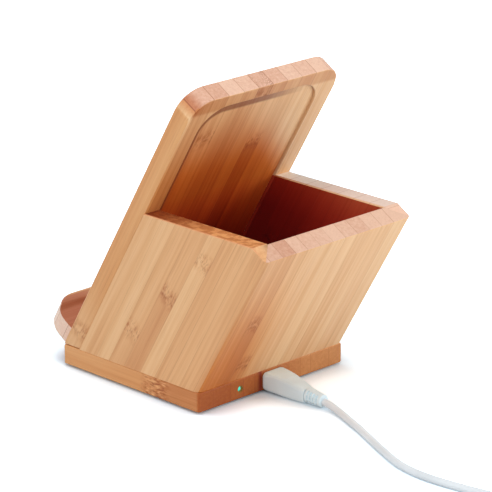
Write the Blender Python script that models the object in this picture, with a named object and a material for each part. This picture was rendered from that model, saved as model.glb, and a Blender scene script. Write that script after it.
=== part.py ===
# Bamboo phone stand with a wireless charger, a pen box behind the phone plate and a micro USB cable.
# Metres, +Z up, Z = 0 is the desk, the phone side faces -Y. The functions measure from the middle of the
# base, and one frame then moves it all so that the origin lies under the middle of the stand.

import math

import bmesh
import bpy
from mathutils import Vector

# Gaps
SEAT = 0.0003            # gap kept between two pieces that touch
CUT_OVERRUN = 0.002      # how far a cutter runs past the face it cuts

# Boards and base
BOARD = 0.0090           # thickness of the walls and of the phone plate
BASE_THICKNESS = 0.0090
BASE_WIDTH = 0.0880
BASE_DEPTH = 0.0860
BASE_LIFT = 0.0010       # the feet hold the base this far above the desk
BASE_CORNER = 0.0012     # radius of the base's upright corners
EDGE_ROUND = 0.0006      # sanded edges
WALL_SETBACK = 0.0003    # the rear wall stands this far in from the base's rear face

# Lean of the plate and the pen box
LEAN = math.radians(30.7)

# Phone plate
PLATE_TOP_SETBACK = 0.0004   # the plate's top rear edge stands this far in front of the base's rear face
PLATE_CORNER = 0.0110
FRONT_SKIN = 0.0026      # bamboo left in front of the charging coil

# Cover panel let into the plate's rear face
PANEL_SIDE_BORDER = 0.0093
PANEL_TOP_BORDER = 0.0063
PANEL_CORNER = 0.0130
PANEL_THICKNESS = 0.0025
PANEL_RECESS = 0.0012    # how far the panel lies below the plate's rear face
PANEL_FOOT = 0.0080      # height of the panel's lower end along the plate

# Pen box
RIM_HEIGHT = 0.0722      # from the base's top to the level rim

# Phone ledge
LEDGE_WIDTH = 0.0862
LEDGE_REACH = 0.0173     # from the plate's front face
LEDGE_THICKNESS = 0.0090
LEDGE_RAISE = 0.0005     # from the plate's foot to the ledge's underside
LEDGE_CORNER = 0.0123
LIP_RISE = 0.0018
LIP_WIDTH = 0.0041
LIP_SLOPE_RUN = 0.0020   # sloped inner side of the lip

# Charging coil and ferrite
COIL_HEIGHT = 0.0775     # coil's centre along the plate
COIL_INNER_RADIUS = 0.0105
COIL_STRAND_WIDTH = 0.0010
COIL_STRAND_GAP = 0.0005
COIL_STRAND_THICKNESS = 0.0010
COIL_TURNS = 9
COIL_STEPS = 32          # points in a turn
FERRITE_SIDE = 0.0530
FERRITE_THICKNESS = 0.0008
FERRITE_CORNER = 0.0060
LEAD_DIAMETER = 0.0008
LEAD_SPACING = 0.0026
LEAD_CHANNEL_WIDTH = 0.0052

# Underside cover and its screws
COVER_FOOT_CLEARANCE = 0.0012
COVER_THICKNESS = 0.0012
COVER_CORNER = 0.0040
COVER_FRONT_MARGIN = 0.0021
COVER_REAR_MARGIN = 0.0022
SCREW_INSET = 0.0042
SCREW_LENGTH = 0.0055
SCREW_SHANK = 0.0020
SCREW_HEAD = 0.0036
SCREW_HEAD_DEPTH = 0.0009
SCREW_RECESS_WIDTH = 0.0005
SCREW_RECESS_SPAN = 0.0020
SCREW_RECESS_DEPTH = 0.0005

# Feet
FOOT_DIAMETER = 0.0080
FOOT_THICKNESS = 0.0015
FOOT_EDGE = 0.0003
FOOT_INSET = 0.0078      # foot's centre from the base's sides

# Electronics
CARD_WIDTH = 0.0380
CARD_DEPTH = 0.0230
CARD_THICKNESS = 0.0010
CARD_OFFSET = 0.0050     # card's centre to the LED side of the socket
CARD_REAR_MARGIN = 0.0034
CARD_LEDGE = 0.0014      # bamboo ledge that the card is screwed up against
POCKET_CEILING = 0.0028  # bamboo left above the electronics
POCKET_CORNER = 0.0015
CARD_SCREW_INSET = 0.0030
CARD_SCREW_SHANK = 0.0014
CARD_SCREW_HEAD = 0.0026
CARD_SCREW_HEAD_HEIGHT = 0.0004
CARD_SCREW_LENGTH = 0.0034
CARD_BOSS = 0.0048       # bamboo corner posts above the card screws

SOCKET_WIDTH = 0.0080
SOCKET_HEIGHT = 0.0030
SOCKET_DEPTH = 0.0056
SOCKET_WALL = 0.0003
SOCKET_CHAMFER = 0.0009
SOCKET_INSET = 0.0008    # socket's mouth behind the base's rear face
SOCKET_BACK = 0.0008
TONGUE_THICKNESS = 0.0006
TONGUE_WIDTH = 0.0040
TONGUE_LENGTH = 0.0036

LED_OFFSET = 0.0192      # LED's centre from the socket's centre
LED_DIAMETER = 0.0026
LED_FLANGE = 0.0030
LED_FLANGE_THICKNESS = 0.0008
LED_LENGTH = 0.0046
LED_INSET = 0.0005
LED_LEG = 0.0005
LED_LEG_PITCH = 0.0025

CHIP_SIDE = 0.0050
CHIP_HEIGHT = 0.0009
INDUCTOR_SIDE = 0.0052
INDUCTOR_HEIGHT = 0.0024
INDUCTOR_CORNER = 0.0010
CAPACITOR_LENGTH = 0.0032
CAPACITOR_WIDTH = 0.0020
CAPACITOR_HEIGHT = 0.0016

# Cable
CORD_DIAMETER = 0.0032
CORD_REST = 0.00005      # keeps the faceted tube off the desk
PLUG_STANDOFF = 0.0005   # plug body to the base's rear face
PLUG_WIDTH = 0.0126
PLUG_HEIGHT = 0.0081
PLUG_LENGTH = 0.0216
PLUG_CORNER = 0.0018
PLUG_END_WIDTH = 0.0070
PLUG_END_HEIGHT = 0.0066
PLUG_SAG = 0.0025        # how far the moulding bends down towards the desk
PLUG_TIP_WIDTH = 0.0068
PLUG_TIP_HEIGHT = 0.0018
PLUG_TIP_CHAMFER = 0.0006
PLUG_TIP_WALL = 0.00025
PLUG_TIP_DEPTH = 0.0045  # how far the tip reaches into the socket
RELIEF_START = 0.0064
RELIEF_END = 0.0052
RELIEF_LENGTH = 0.0086
RELIEF_RIBS = 4
RELIEF_GROOVE = 0.0007
TYPE_A_WIDTH = 0.0155
TYPE_A_HEIGHT = 0.0078
TYPE_A_LENGTH = 0.0240
TYPE_A_CORNER = 0.0015
TYPE_A_SHELL_WIDTH = 0.0120
TYPE_A_SHELL_HEIGHT = 0.0045
TYPE_A_SHELL_LENGTH = 0.0118
TYPE_A_SHELL_WALL = 0.0003
TYPE_A_TONGUE_HEIGHT = 0.0018
TYPE_A_TONGUE_SHORT = 0.0006

# Cord's coil
HANK_RADIUS = 0.0272     # outermost turn of the cord's coil
HANK_TURNS = 3           # turns in each of the two layers
HANK_STEPS = 24
HANK_TURN_GAP = 0.0006
HANK_LAYER_GAP = 0.0006
HANK_DIP = 0.0010        # inward bow where the cord climbs a layer
HANK_RUN = 0.0070        # straight run into the first turn
HANK_TAIL = 0.0135       # straight run from the last turn to the plug

# Cord's route on the desk, measured from the plug's strain relief: along +Y, across +X, share of the drop
CORD_ROUTE = (
    (0.0000, 0.0000, 0.00),
    (0.0045, 0.0005, 0.35),
    (0.0085, 0.0013, 0.78),
    (0.0134, 0.0029, 1.00),
    (0.0189, 0.0052, 1.00),
    (0.0302, 0.0099, 1.00),
    (0.0420, 0.0154, 1.00),
    (0.0540, 0.0209, 1.00),
    (0.0646, 0.0253, 1.00),
    (0.0733, 0.0276, 1.00),
    (0.0827, 0.0284, 1.00),
    (0.0920, 0.0279, 1.00),
    (0.1040, 0.0262, 1.00),
    (0.1155, 0.0241, 1.00),
    (0.1254, 0.0230, 1.00),
    (0.1304, 0.0230, 1.00),
)
CORD_POINTS = 34

# Share of a plug body's length, and its width and height there as shares of the way to its end size
PLUG_SECTION_SHARES = (
    (0.00, 0.05, 0.15),
    (0.04, 0.00, 0.00),
    (0.25, 0.22, -0.20),
    (0.50, 0.50, -0.25),
    (0.75, 0.78, 0.25),
    (0.96, 0.97, 0.95),
    (1.00, 1.04, 1.05),
)
TYPE_A_SECTION_SHARES = (
    (0.00, 0.00, 0.00),
    (0.04, -0.05, 0.00),
    (0.55, -0.05, 0.00),
    (0.80, 0.25, 0.25),
    (0.97, 0.90, 0.90),
    (1.00, 1.00, 1.00),
)

ARC_STEPS = 8            # facets in a quarter round
FINE_ARC_STEPS = 3
ROUND_SIDES = 32
SMALL_SIDES = 16

# Worked out from the sizes above
SIN = math.sin(LEAN)
COS = math.cos(LEAN)
BASE_TOP = BASE_LIFT + BASE_THICKNESS
HALF_WIDTH = BASE_WIDTH / 2
HALF_DEPTH = BASE_DEPTH / 2
PLATE_LENGTH = (BASE_DEPTH - BOARD * COS - PLATE_TOP_SETBACK) / SIN    # along the lean, from the base's top
COVER_HALF_WIDTH = HALF_WIDTH - FOOT_INSET - FOOT_DIAMETER / 2 - COVER_FOOT_CLEARANCE
REAR_OUTER = (BASE_DEPTH - WALL_SETBACK) * COS     # rear wall's outer face, square to the lean
REAR_INNER = REAR_OUTER - BOARD
PANEL_FLOOR = BOARD - PANEL_RECESS - PANEL_THICKNESS - SEAT
COVER_TOP = BASE_LIFT + COVER_THICKNESS
CARD_BOTTOM = COVER_TOP + SEAT
CARD_TOP = CARD_BOTTOM + CARD_THICKNESS
CARD_REAR = HALF_DEPTH - CARD_REAR_MARGIN
CARD_FRONT = CARD_REAR - CARD_DEPTH
SOCKET_Z = CARD_TOP + SEAT + SOCKET_HEIGHT / 2
CORD_RADIUS = CORD_DIAMETER / 2
CORD_Z = CORD_RADIUS + CORD_REST
PLUG_FACE = HALF_DEPTH + PLUG_STANDOFF
RELIEF_FACE = PLUG_FACE + PLUG_LENGTH + SEAT
CORD_START = RELIEF_FACE + RELIEF_LENGTH + SEAT


def clear_scene():
    for obj in list(bpy.data.objects):
        bpy.data.objects.remove(obj, do_unlink=True)


def material(name, colour, roughness, metallic=0.0):
    mat = bpy.data.materials.new(name)
    mat.use_nodes = True
    shader = mat.node_tree.nodes["Principled BSDF"]
    shader.inputs["Base Color"].default_value = (*colour, 1.0)
    shader.inputs["Roughness"].default_value = roughness
    shader.inputs["Metallic"].default_value = metallic
    mat.diffuse_color = (*colour, 1.0)
    return mat


def link(obj, mat, parent=None):
    bpy.context.collection.objects.link(obj)
    if mat:
        obj.data.materials.append(mat)
    obj.parent = parent
    return obj


def from_bmesh(name, bm, mat, parent=None, smooth=False):
    bmesh.ops.recalc_face_normals(bm, faces=bm.faces)
    mesh = bpy.data.meshes.new(name)
    bm.to_mesh(mesh)
    bm.free()
    if smooth:
        mesh.shade_smooth()
        mesh.set_sharp_from_angle(angle=math.radians(35))
    return link(bpy.data.objects.new(name, mesh), mat, parent)


def frame(name, location, parent=None):
    empty = bpy.data.objects.new(name, None)
    bpy.context.collection.objects.link(empty)
    empty.location = location
    empty.parent = parent
    return empty


def arc(centre, radius, start, end, steps):
    points = []
    for i in range(steps + 1):
        angle = start + (end - start) * i / steps
        points.append((centre[0] + radius * math.cos(angle), centre[1] + radius * math.sin(angle)))
    return points


def rounded_rectangle(low, high, radius, steps=ARC_STEPS):
    (x0, y0), (x1, y1) = low, high
    corners = (
        ((x1 - radius, y1 - radius), 0.0),
        ((x0 + radius, y1 - radius), math.pi / 2),
        ((x0 + radius, y0 + radius), math.pi),
        ((x1 - radius, y0 + radius), 3 * math.pi / 2),
    )
    points = []
    for centre, start in corners:
        points += arc(centre, radius, start, start + math.pi / 2, steps)
    return points


def rectangle(low, high):
    (x0, y0), (x1, y1) = low, high
    return [(x1, y1), (x0, y1), (x0, y0), (x1, y0)]


def circle(centre, radius, sides=ROUND_SIDES):
    return arc(centre, radius, 0.0, 2 * math.pi, sides)[:-1]


def along_z(a, b, c):
    return Vector((a, b, c))


def along_y(a, b, c):
    return Vector((a, c, b))


def along_x(a, b, c):
    return Vector((c, a, b))


def loft(sections):
    """Skins a list of closed loops of equal length and caps both ends."""
    bm = bmesh.new()
    rings = [[bm.verts.new(point) for point in section] for section in sections]
    for ring, following in zip(rings[:-1], rings[1:]):
        count = len(ring)
        for i in range(count):
            j = (i + 1) % count
            bm.faces.new((ring[i], ring[j], following[j], following[i]))
    bm.faces.new(rings[0])
    bm.faces.new(rings[-1])
    return bm


def prism(outline, low, high, place=along_z):
    return loft([[place(a, b, level) for a, b in outline] for level in (low, high)])


def turned(profile, place, centre, sides=ROUND_SIDES):
    """Turns (distance along, radius) pairs round an axis through centre."""
    sections = []
    for distance, radius in profile:
        ring = circle((centre[0], centre[1]), radius, sides)
        sections.append([place(a, b, centre[2] + distance) for a, b in ring])
    return loft(sections)


def add_bevel(obj, width=EDGE_ROUND, segments=2, method="ANGLE"):
    modifier = obj.modifiers.new("edges", "BEVEL")
    modifier.width = width
    modifier.segments = segments
    modifier.limit_method = method
    modifier.angle_limit = math.radians(40)
    return modifier


def weigh_edges(obj, test):
    """Marks for the bevel each edge whose two ends pass the test."""
    mesh = obj.data
    weights = mesh.attributes.new("bevel_weight_edge", "FLOAT", "EDGE")
    for edge in mesh.edges:
        ends = [mesh.vertices[i].co for i in edge.vertices]
        weights.data[edge.index].value = 1.0 if test(*ends) else 0.0


def boolean(obj, tool, operation="DIFFERENCE"):
    tool.hide_render = True
    tool.display_type = "WIRE"
    modifier = obj.modifiers.new(tool.name, "BOOLEAN")
    modifier.operation = operation
    modifier.object = tool
    modifier.solver = "EXACT"


def cutter(name, bm, parent=None):
    return from_bmesh(name, bm, None, parent)


def tube(name, points, diameter, mat, parent=None):
    curve = bpy.data.curves.new(name, "CURVE")
    curve.dimensions = "3D"
    curve.bevel_depth = diameter / 2
    curve.bevel_resolution = 2
    curve.use_fill_caps = True
    spline = curve.splines.new("POLY")
    spline.points.add(len(points) - 1)
    for target, point in zip(spline.points, points):
        target.co = (*point, 1.0)
        target.tilt = 0.0
    curve.materials.append(mat)
    obj = bpy.data.objects.new(name, curve)
    bpy.context.collection.objects.link(obj)
    obj.parent = parent
    return obj


def smooth_route(points, count):
    """Reads evenly spaced points from a Catmull-Rom curve through the route's own points."""
    padded = [points[0] * 2 - points[1]] + list(points) + [points[-1] * 2 - points[-2]]
    fine = []
    per_span = 24
    for i in range(len(points) - 1):
        p0, p1, p2, p3 = padded[i:i + 4]
        for k in range(per_span):
            t = k / per_span
            fine.append(0.5 * (2 * p1 + (p2 - p0) * t + (2 * p0 - 5 * p1 + 4 * p2 - p3) * t ** 2
                               + (3 * p1 - p0 - 3 * p2 + p3) * t ** 3))
    fine.append(points[-1].copy())
    lengths = [0.0]
    for a, b in zip(fine[:-1], fine[1:]):
        lengths.append(lengths[-1] + (b - a).length)
    result = []
    j = 0
    for i in range(count):
        target = lengths[-1] * i / (count - 1)
        while j < len(lengths) - 2 and lengths[j + 1] < target:
            j += 1
        span = lengths[j + 1] - lengths[j]
        result.append(fine[j].lerp(fine[j + 1], (target - lengths[j]) / span))
    return result


def foot_of(depth, gap=SEAT):
    """Height along the lean, at a depth behind the plate's front face, of a level cut over the base."""
    return (gap + depth * SIN) / COS


def plate_outline():
    half = HALF_WIDTH
    top = PLATE_LENGTH
    inner = half - PLATE_CORNER
    points = [(-half, foot_of(0.0)), (half, foot_of(0.0))]
    points += arc((inner, top - PLATE_CORNER), PLATE_CORNER, 0.0, math.pi / 2, ARC_STEPS)
    points += arc((-inner, top - PLATE_CORNER), PLATE_CORNER, math.pi / 2, math.pi, ARC_STEPS)
    return points


def arched_outline(half, low, high, radius):
    points = [(-half, low), (half, low)]
    points += arc((half - radius, high - radius), radius, 0.0, math.pi / 2, ARC_STEPS)
    points += arc((-half + radius, high - radius), radius, math.pi / 2, math.pi, ARC_STEPS)
    return points


def build_front_plate(leaning, mat):
    outline = plate_outline()
    rise = foot_of(BOARD) - foot_of(0.0)
    front = [along_y(x, z, 0.0) for x, z in outline]
    rear = [along_y(x, z + (rise if i < 2 else 0.0), BOARD) for i, (x, z) in enumerate(outline)]
    plate = from_bmesh("front_plate", loft([front, rear]), mat, leaning, smooth=True)
    add_bevel(plate)

    half = HALF_WIDTH - PANEL_SIDE_BORDER
    pocket = arched_outline(half, PANEL_FOOT - SEAT, PLATE_LENGTH - PANEL_TOP_BORDER, PANEL_CORNER)
    boolean(plate, cutter("panel_pocket", prism(pocket, PANEL_FLOOR, BOARD + CUT_OVERRUN, along_y), leaning))

    reach = FERRITE_SIDE / 2 + SEAT
    low = (-reach, COIL_HEIGHT - reach)
    high = (reach, COIL_HEIGHT + reach)
    well = rounded_rectangle(low, high, FERRITE_CORNER + SEAT)
    well_cut = prism(well, FRONT_SKIN, PANEL_FLOOR + CUT_OVERRUN, along_y)
    boolean(plate, cutter("coil_well", well_cut, leaning))

    half_channel = LEAD_CHANNEL_WIDTH / 2
    low = (-half_channel, -CUT_OVERRUN)
    high = (half_channel, COIL_HEIGHT)
    channel = rounded_rectangle(low, high, LEAD_DIAMETER, FINE_ARC_STEPS)
    boolean(plate, cutter("lead_channel", prism(channel, FRONT_SKIN, PANEL_FLOOR, along_y), leaning))
    return plate


def build_panel(leaning, mat):
    half = HALF_WIDTH - PANEL_SIDE_BORDER - SEAT
    outline = arched_outline(half, PANEL_FOOT, PLATE_LENGTH - PANEL_TOP_BORDER - SEAT, PANEL_CORNER - SEAT)
    front = PANEL_FLOOR + SEAT
    panel = prism(outline, front, front + PANEL_THICKNESS, along_y)
    return from_bmesh("coil_cover_panel", panel, mat, leaning, smooth=True)


def build_ledge(leaning, mat):
    half = LEDGE_WIDTH / 2
    tip = -LEDGE_REACH
    centre = tip + LEDGE_CORNER
    outline = [(half, -SEAT)]
    outline += [(-half, -SEAT)]
    outline += arc((-half + LEDGE_CORNER, centre), LEDGE_CORNER, math.pi, 3 * math.pi / 2, ARC_STEPS)
    outline += arc((half - LEDGE_CORNER, centre), LEDGE_CORNER, 3 * math.pi / 2, 2 * math.pi, ARC_STEPS)
    floor = LEDGE_RAISE + LEDGE_THICKNESS
    top = floor + LIP_RISE
    ledge = from_bmesh("phone_ledge", prism(outline, LEDGE_RAISE, top), mat, leaning, smooth=True)
    add_bevel(ledge)
    lip_inner = tip + LIP_WIDTH
    slot = [
        (CUT_OVERRUN, floor),
        (CUT_OVERRUN, top + CUT_OVERRUN),
        (lip_inner, top + CUT_OVERRUN),
        (lip_inner, top),
        (lip_inner + LIP_SLOPE_RUN, floor),
    ]
    reach = half + CUT_OVERRUN
    boolean(ledge, cutter("phone_slot", prism(slot, -reach, reach, along_x), leaning))
    return ledge


def rim_of(depth):
    return (RIM_HEIGHT + depth * SIN) / COS


def build_side_wall(name, side, leaning, mat):
    """A leaning board, mitred to the rear wall, with a level rim."""
    mitre = SEAT / math.sqrt(2)
    front = BOARD + SEAT
    outer = side * HALF_WIDTH
    inner = side * (HALF_WIDTH - BOARD)
    rear_outer = REAR_OUTER - mitre
    rear_inner = REAR_INNER - mitre
    profile = {
        "a": (outer, front, foot_of(front)),
        "b": (outer, front, rim_of(front)),
        "c": (outer, rear_inner, rim_of(rear_inner)),
        "d": (outer, rear_outer, rim_of(rear_inner)),
        "e": (outer, rear_outer, foot_of(rear_outer)),
        "A": (inner, front, foot_of(front)),
        "B": (inner, front, rim_of(front)),
        "C": (inner, rear_inner, rim_of(rear_inner)),
        "E": (inner, rear_inner, foot_of(rear_inner)),
    }
    bm = bmesh.new()
    corners = {key: bm.verts.new(point) for key, point in profile.items()}
    for loop in ("abcde", "AECB", "aeEA", "abBA", "bcCB", "cdC", "deEC"):
        bm.faces.new([corners[key] for key in loop])
    wall = from_bmesh(name, bm, mat, leaning)
    rim = rim_of(front) - SEAT
    rounded = (Vector(profile["b"]), Vector(profile["c"]), Vector(profile["d"]), Vector(profile["B"]),
               Vector(profile["C"]))

    def on_rim(a, b):
        near = [any((end - corner).length < SEAT for corner in rounded) for end in (a, b)]
        along = abs(a.x - b.x) < SEAT
        return all(near) and along and min(a.z, b.z) > rim

    weigh_edges(wall, on_rim)
    add_bevel(wall, method="WEIGHT")
    return wall


def build_rear_wall(leaning, mat):
    mitre = SEAT / math.sqrt(2)
    outer = HALF_WIDTH - mitre
    inner = HALF_WIDTH - BOARD - mitre
    top = rim_of(REAR_INNER)
    left = [
        Vector((-outer, REAR_OUTER, foot_of(REAR_OUTER))),
        Vector((-outer, REAR_OUTER, top)),
        Vector((-inner, REAR_INNER, top)),
        Vector((-inner, REAR_INNER, foot_of(REAR_INNER))),
    ]
    right = [Vector((-point.x, point.y, point.z)) for point in left]
    wall = from_bmesh("rear_wall", loft([left, right]), mat, leaning)
    weigh_edges(wall, lambda a, b: abs(a.x - b.x) > BOARD and min(a.z, b.z) > top - SEAT)
    add_bevel(wall, method="WEIGHT")
    return wall


def stand_middle():
    """Y of the middle of the stand, from the ledge's tip to the rear wall's upper edge."""
    tip = -LEDGE_REACH * COS + LEDGE_RAISE * SIN
    upper_edge = REAR_OUTER * COS + rim_of(REAR_INNER) * SIN
    return -HALF_DEPTH + (tip + upper_edge) / 2


def card_span():
    """Lowest and highest X of the circuit board."""
    return CARD_OFFSET - CARD_WIDTH / 2, CARD_OFFSET + CARD_WIDTH / 2


def cover_span():
    """Front and rear edge of the underside cover."""
    return -HALF_DEPTH + COVER_FRONT_MARGIN, HALF_DEPTH - COVER_REAR_MARGIN


def screw_places():
    """The front pair at the cover's front edge, the rear pair in front of the circuit board."""
    front = cover_span()[0]
    x = COVER_HALF_WIDTH - SCREW_INSET
    return [(sx * x, y) for y in (front + SCREW_INSET, CARD_FRONT - SCREW_INSET) for sx in (-1, 1)]


def foot_places():
    x = HALF_WIDTH - FOOT_INSET
    y = HALF_DEPTH - FOOT_INSET
    return {"front_left": (-x, -y), "front_right": (x, -y), "rear_left": (-x, y), "rear_right": (x, y)}


def card_screw_places():
    low, high = card_span()
    y = CARD_FRONT + CARD_SCREW_INSET
    return [(low + CARD_SCREW_INSET, y), (high - CARD_SCREW_INSET, y)]


def lead_depths():
    """Front and rear of the lead channel where it meets the base's top."""
    return -HALF_DEPTH + FRONT_SKIN / COS, -HALF_DEPTH + PANEL_FLOOR / COS


def build_base(mat):
    far_corner = (HALF_WIDTH, HALF_DEPTH)
    outline = rounded_rectangle((-HALF_WIDTH, -HALF_DEPTH), far_corner, BASE_CORNER, FINE_ARC_STEPS)
    base = from_bmesh("base_board", prism(outline, BASE_LIFT, BASE_TOP), mat, smooth=True)
    add_bevel(base)
    bottom = BASE_LIFT - CUT_OVERRUN
    ceiling = BASE_TOP - POCKET_CEILING

    front, rear = cover_span()
    half = COVER_HALF_WIDTH + SEAT
    rebate = rounded_rectangle((-half, front - SEAT), (half, rear + SEAT), COVER_CORNER + SEAT)
    boolean(base, cutter("cover_rebate", prism(rebate, bottom, COVER_TOP + SEAT)))

    low, high = card_span()
    card = rounded_rectangle((low - SEAT, CARD_FRONT - SEAT), (high + SEAT, CARD_REAR + SEAT), POCKET_CORNER)
    boolean(base, cutter("card_pocket", prism(card, bottom, CARD_TOP + SEAT)))

    step = CARD_LEDGE
    boss = CARD_BOSS
    x0, x1 = low + step, high - step
    y0, y1 = CARD_FRONT + step, CARD_REAR - step / 2
    room = [(x0 + boss, y0), (x1 - boss, y0), (x1 - boss, y0 + boss), (x1, y0 + boss), (x1, y1), (x0, y1),
            (x0, y0 + boss), (x0 + boss, y0 + boss)]
    boolean(base, cutter("component_room", prism(room, bottom, ceiling)))

    lead_front, lead_rear = lead_depths()
    half = LEAD_CHANNEL_WIDTH / 2
    groove = rounded_rectangle((-half, lead_front), (half, y0 + step), LEAD_DIAMETER, FINE_ARC_STEPS)
    boolean(base, cutter("lead_groove", prism(groove, bottom, ceiling)))
    hole = rounded_rectangle((-half, lead_front), (half, lead_rear), LEAD_DIAMETER, FINE_ARC_STEPS)
    boolean(base, cutter("lead_hole", prism(hole, bottom, BASE_TOP + CUT_OVERRUN)))

    port = micro_outline(SOCKET_WIDTH + 2 * SEAT, SOCKET_HEIGHT + 2 * SEAT, SOCKET_CHAMFER)
    boolean(base, cutter("port_opening", prism(port, y1 - step, HALF_DEPTH + CUT_OVERRUN, along_y)))
    led = circle((LED_OFFSET, SOCKET_Z), LED_DIAMETER / 2 + SEAT)
    boolean(base, cutter("led_hole", prism(led, y1 - step, HALF_DEPTH + CUT_OVERRUN, along_y)))

    for place, (x, y) in foot_places().items():
        seat = circle((x, y), FOOT_DIAMETER / 2 + SEAT)
        boolean(base, cutter("foot_seat_" + place, prism(seat, bottom, FOOT_THICKNESS + SEAT)))
    for i, (x, y) in enumerate(screw_places()):
        pilot = circle((x, y), SCREW_SHANK / 2 + SEAT, SMALL_SIDES)
        boolean(base, cutter(f"screw_pilot_{i + 1}", prism(pilot, bottom, BASE_LIFT + SCREW_LENGTH + SEAT)))
    for i, (x, y) in enumerate(card_screw_places()):
        pilot = circle((x, y), CARD_SCREW_SHANK / 2 + SEAT, SMALL_SIDES)
        top = CARD_BOTTOM + CARD_SCREW_LENGTH + SEAT
        boolean(base, cutter(f"card_screw_pilot_{i + 1}", prism(pilot, bottom, top)))
    return base


def build_cover(mat):
    front, rear = cover_span()
    half = COVER_HALF_WIDTH
    outline = rounded_rectangle((-half, front), (half, rear), COVER_CORNER)
    cover = from_bmesh("base_cover", prism(outline, BASE_LIFT, COVER_TOP), mat, smooth=True)
    for i, (x, y) in enumerate(screw_places()):
        shank = SCREW_SHANK / 2 + SEAT
        head = SCREW_HEAD / 2 + SEAT
        sink = SCREW_HEAD_DEPTH + SEAT
        profile = [(-CUT_OVERRUN, head), (0.0, head), (sink, shank), (COVER_THICKNESS + CUT_OVERRUN, shank)]
        hole = turned(profile, along_z, (x, y, BASE_LIFT), SMALL_SIDES)
        boolean(cover, cutter(f"cover_screw_hole_{i + 1}", hole))
    for i, (x, y) in enumerate(card_screw_places()):
        room = circle((x, y), CARD_SCREW_HEAD / 2 + SEAT, SMALL_SIDES)
        sink = COVER_TOP - CARD_SCREW_HEAD_HEIGHT - SEAT
        boolean(cover, cutter(f"card_screw_room_{i + 1}", prism(room, sink, COVER_TOP + CUT_OVERRUN)))
    return cover


def cross_outline(centre, width, span):
    a, b = width / 2, span / 2
    corners = [
        (a, a), (a, b), (-a, b), (-a, a), (-b, a), (-b, -a),
        (-a, -a), (-a, -b), (a, -b), (a, -a), (b, -a), (b, a),
    ]
    return [(centre[0] + x, centre[1] + y) for x, y in corners]


def build_cover_screws(mat):
    shank = SCREW_SHANK / 2
    point = SCREW_SHANK
    profile = [
        (0.0, SCREW_HEAD / 2),
        (SCREW_HEAD_DEPTH, shank),
        (SCREW_LENGTH - point, shank),
        (SCREW_LENGTH, shank / 3),
    ]
    for i, (x, y) in enumerate(screw_places()):
        bm = turned(profile, along_z, (x, y, BASE_LIFT), SMALL_SIDES)
        screw = from_bmesh(f"cover_screw_{i + 1}", bm, mat, smooth=True)
        cross = cross_outline((x, y), SCREW_RECESS_WIDTH, SCREW_RECESS_SPAN)
        recess = prism(cross, BASE_LIFT - CUT_OVERRUN, BASE_LIFT + SCREW_RECESS_DEPTH)
        boolean(screw, cutter(f"cover_screw_recess_{i + 1}", recess))


def build_feet(mat):
    radius = FOOT_DIAMETER / 2
    profile = [(0.0, radius - FOOT_EDGE), (FOOT_EDGE, radius), (FOOT_THICKNESS, radius)]
    for place, (x, y) in foot_places().items():
        from_bmesh("foot_" + place, turned(profile, along_z, (x, y, 0.0)), mat, smooth=True)


def build_charging_coil(leaning, mat):
    """A flat spiral of rectangular strand, one unbroken body."""
    pitch = COIL_STRAND_WIDTH + COIL_STRAND_GAP
    low = FRONT_SKIN + SEAT
    high = low + COIL_STRAND_THICKNESS
    sections = []
    for i in range(COIL_TURNS * COIL_STEPS + 1):
        turns = i / COIL_STEPS
        angle = -math.pi / 2 + 2 * math.pi * turns
        radius = COIL_INNER_RADIUS + pitch * turns
        inner = (radius * math.cos(angle), COIL_HEIGHT + radius * math.sin(angle))
        reach = radius + COIL_STRAND_WIDTH
        outer = (reach * math.cos(angle), COIL_HEIGHT + reach * math.sin(angle))
        strand = ((inner, low), (outer, low), (outer, high), (inner, high))
        sections.append([along_y(*place, depth) for place, depth in strand])
    return from_bmesh("charging_coil", loft(sections), mat, leaning, smooth=True)


def build_ferrite(leaning, mat):
    """The sheet behind the coil, with a slot for the lead from the coil's middle."""
    half = FERRITE_SIDE / 2
    front = FRONT_SKIN + SEAT + COIL_STRAND_THICKNESS + SEAT
    outline = rounded_rectangle((-half, COIL_HEIGHT - half), (half, COIL_HEIGHT + half), FERRITE_CORNER)
    rear = front + FERRITE_THICKNESS
    sheet = from_bmesh("ferrite_sheet", prism(outline, front, rear, along_y), mat, leaning, smooth=True)
    x = LEAD_SPACING / 2
    slot_half = LEAD_DIAMETER / 2 + SEAT
    low = (x - slot_half, COIL_HEIGHT - half - CUT_OVERRUN)
    high = (x + slot_half, COIL_HEIGHT - COIL_INNER_RADIUS / 2)
    slot = rounded_rectangle(low, high, slot_half / 2, FINE_ARC_STEPS)
    slot_cut = prism(slot, front - CUT_OVERRUN, rear + CUT_OVERRUN, along_y)
    boolean(sheet, cutter("lead_slot", slot_cut, leaning))
    return sheet


def lead_route(x, upper_depth, upper_end):
    """Points of one lead, from the circuit board through the base and up the plate."""
    lead_front, lead_rear = lead_depths()
    hole_y = (lead_front + lead_rear) / 2
    run_z = CARD_TOP + SEAT + LEAD_DIAMETER / 2
    depth = (FRONT_SKIN + PANEL_FLOOR) / 2
    bend = LEAD_CHANNEL_WIDTH

    def on_plate(depth, height):
        return Vector((x, -HALF_DEPTH + depth * COS + height * SIN, BASE_TOP - depth * SIN + height * COS))

    return [
        Vector((x, CARD_FRONT + CARD_SCREW_INSET, run_z)),
        Vector((x, CARD_FRONT - CARD_SCREW_INSET, run_z)),
        Vector((x, hole_y + bend, run_z)),
        Vector((x, hole_y + LEAD_DIAMETER, run_z + LEAD_DIAMETER)),
        Vector((x, hole_y, BASE_TOP - LEAD_DIAMETER)),
        on_plate(depth, foot_of(depth) + bend),
        on_plate(depth, 2 * PANEL_FOOT),
        on_plate(depth, COIL_HEIGHT - FERRITE_SIDE / 2 - bend),
        on_plate(upper_depth, COIL_HEIGHT - FERRITE_SIDE / 2 + LEAD_DIAMETER),
        on_plate(upper_depth, upper_end),
    ]


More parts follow.
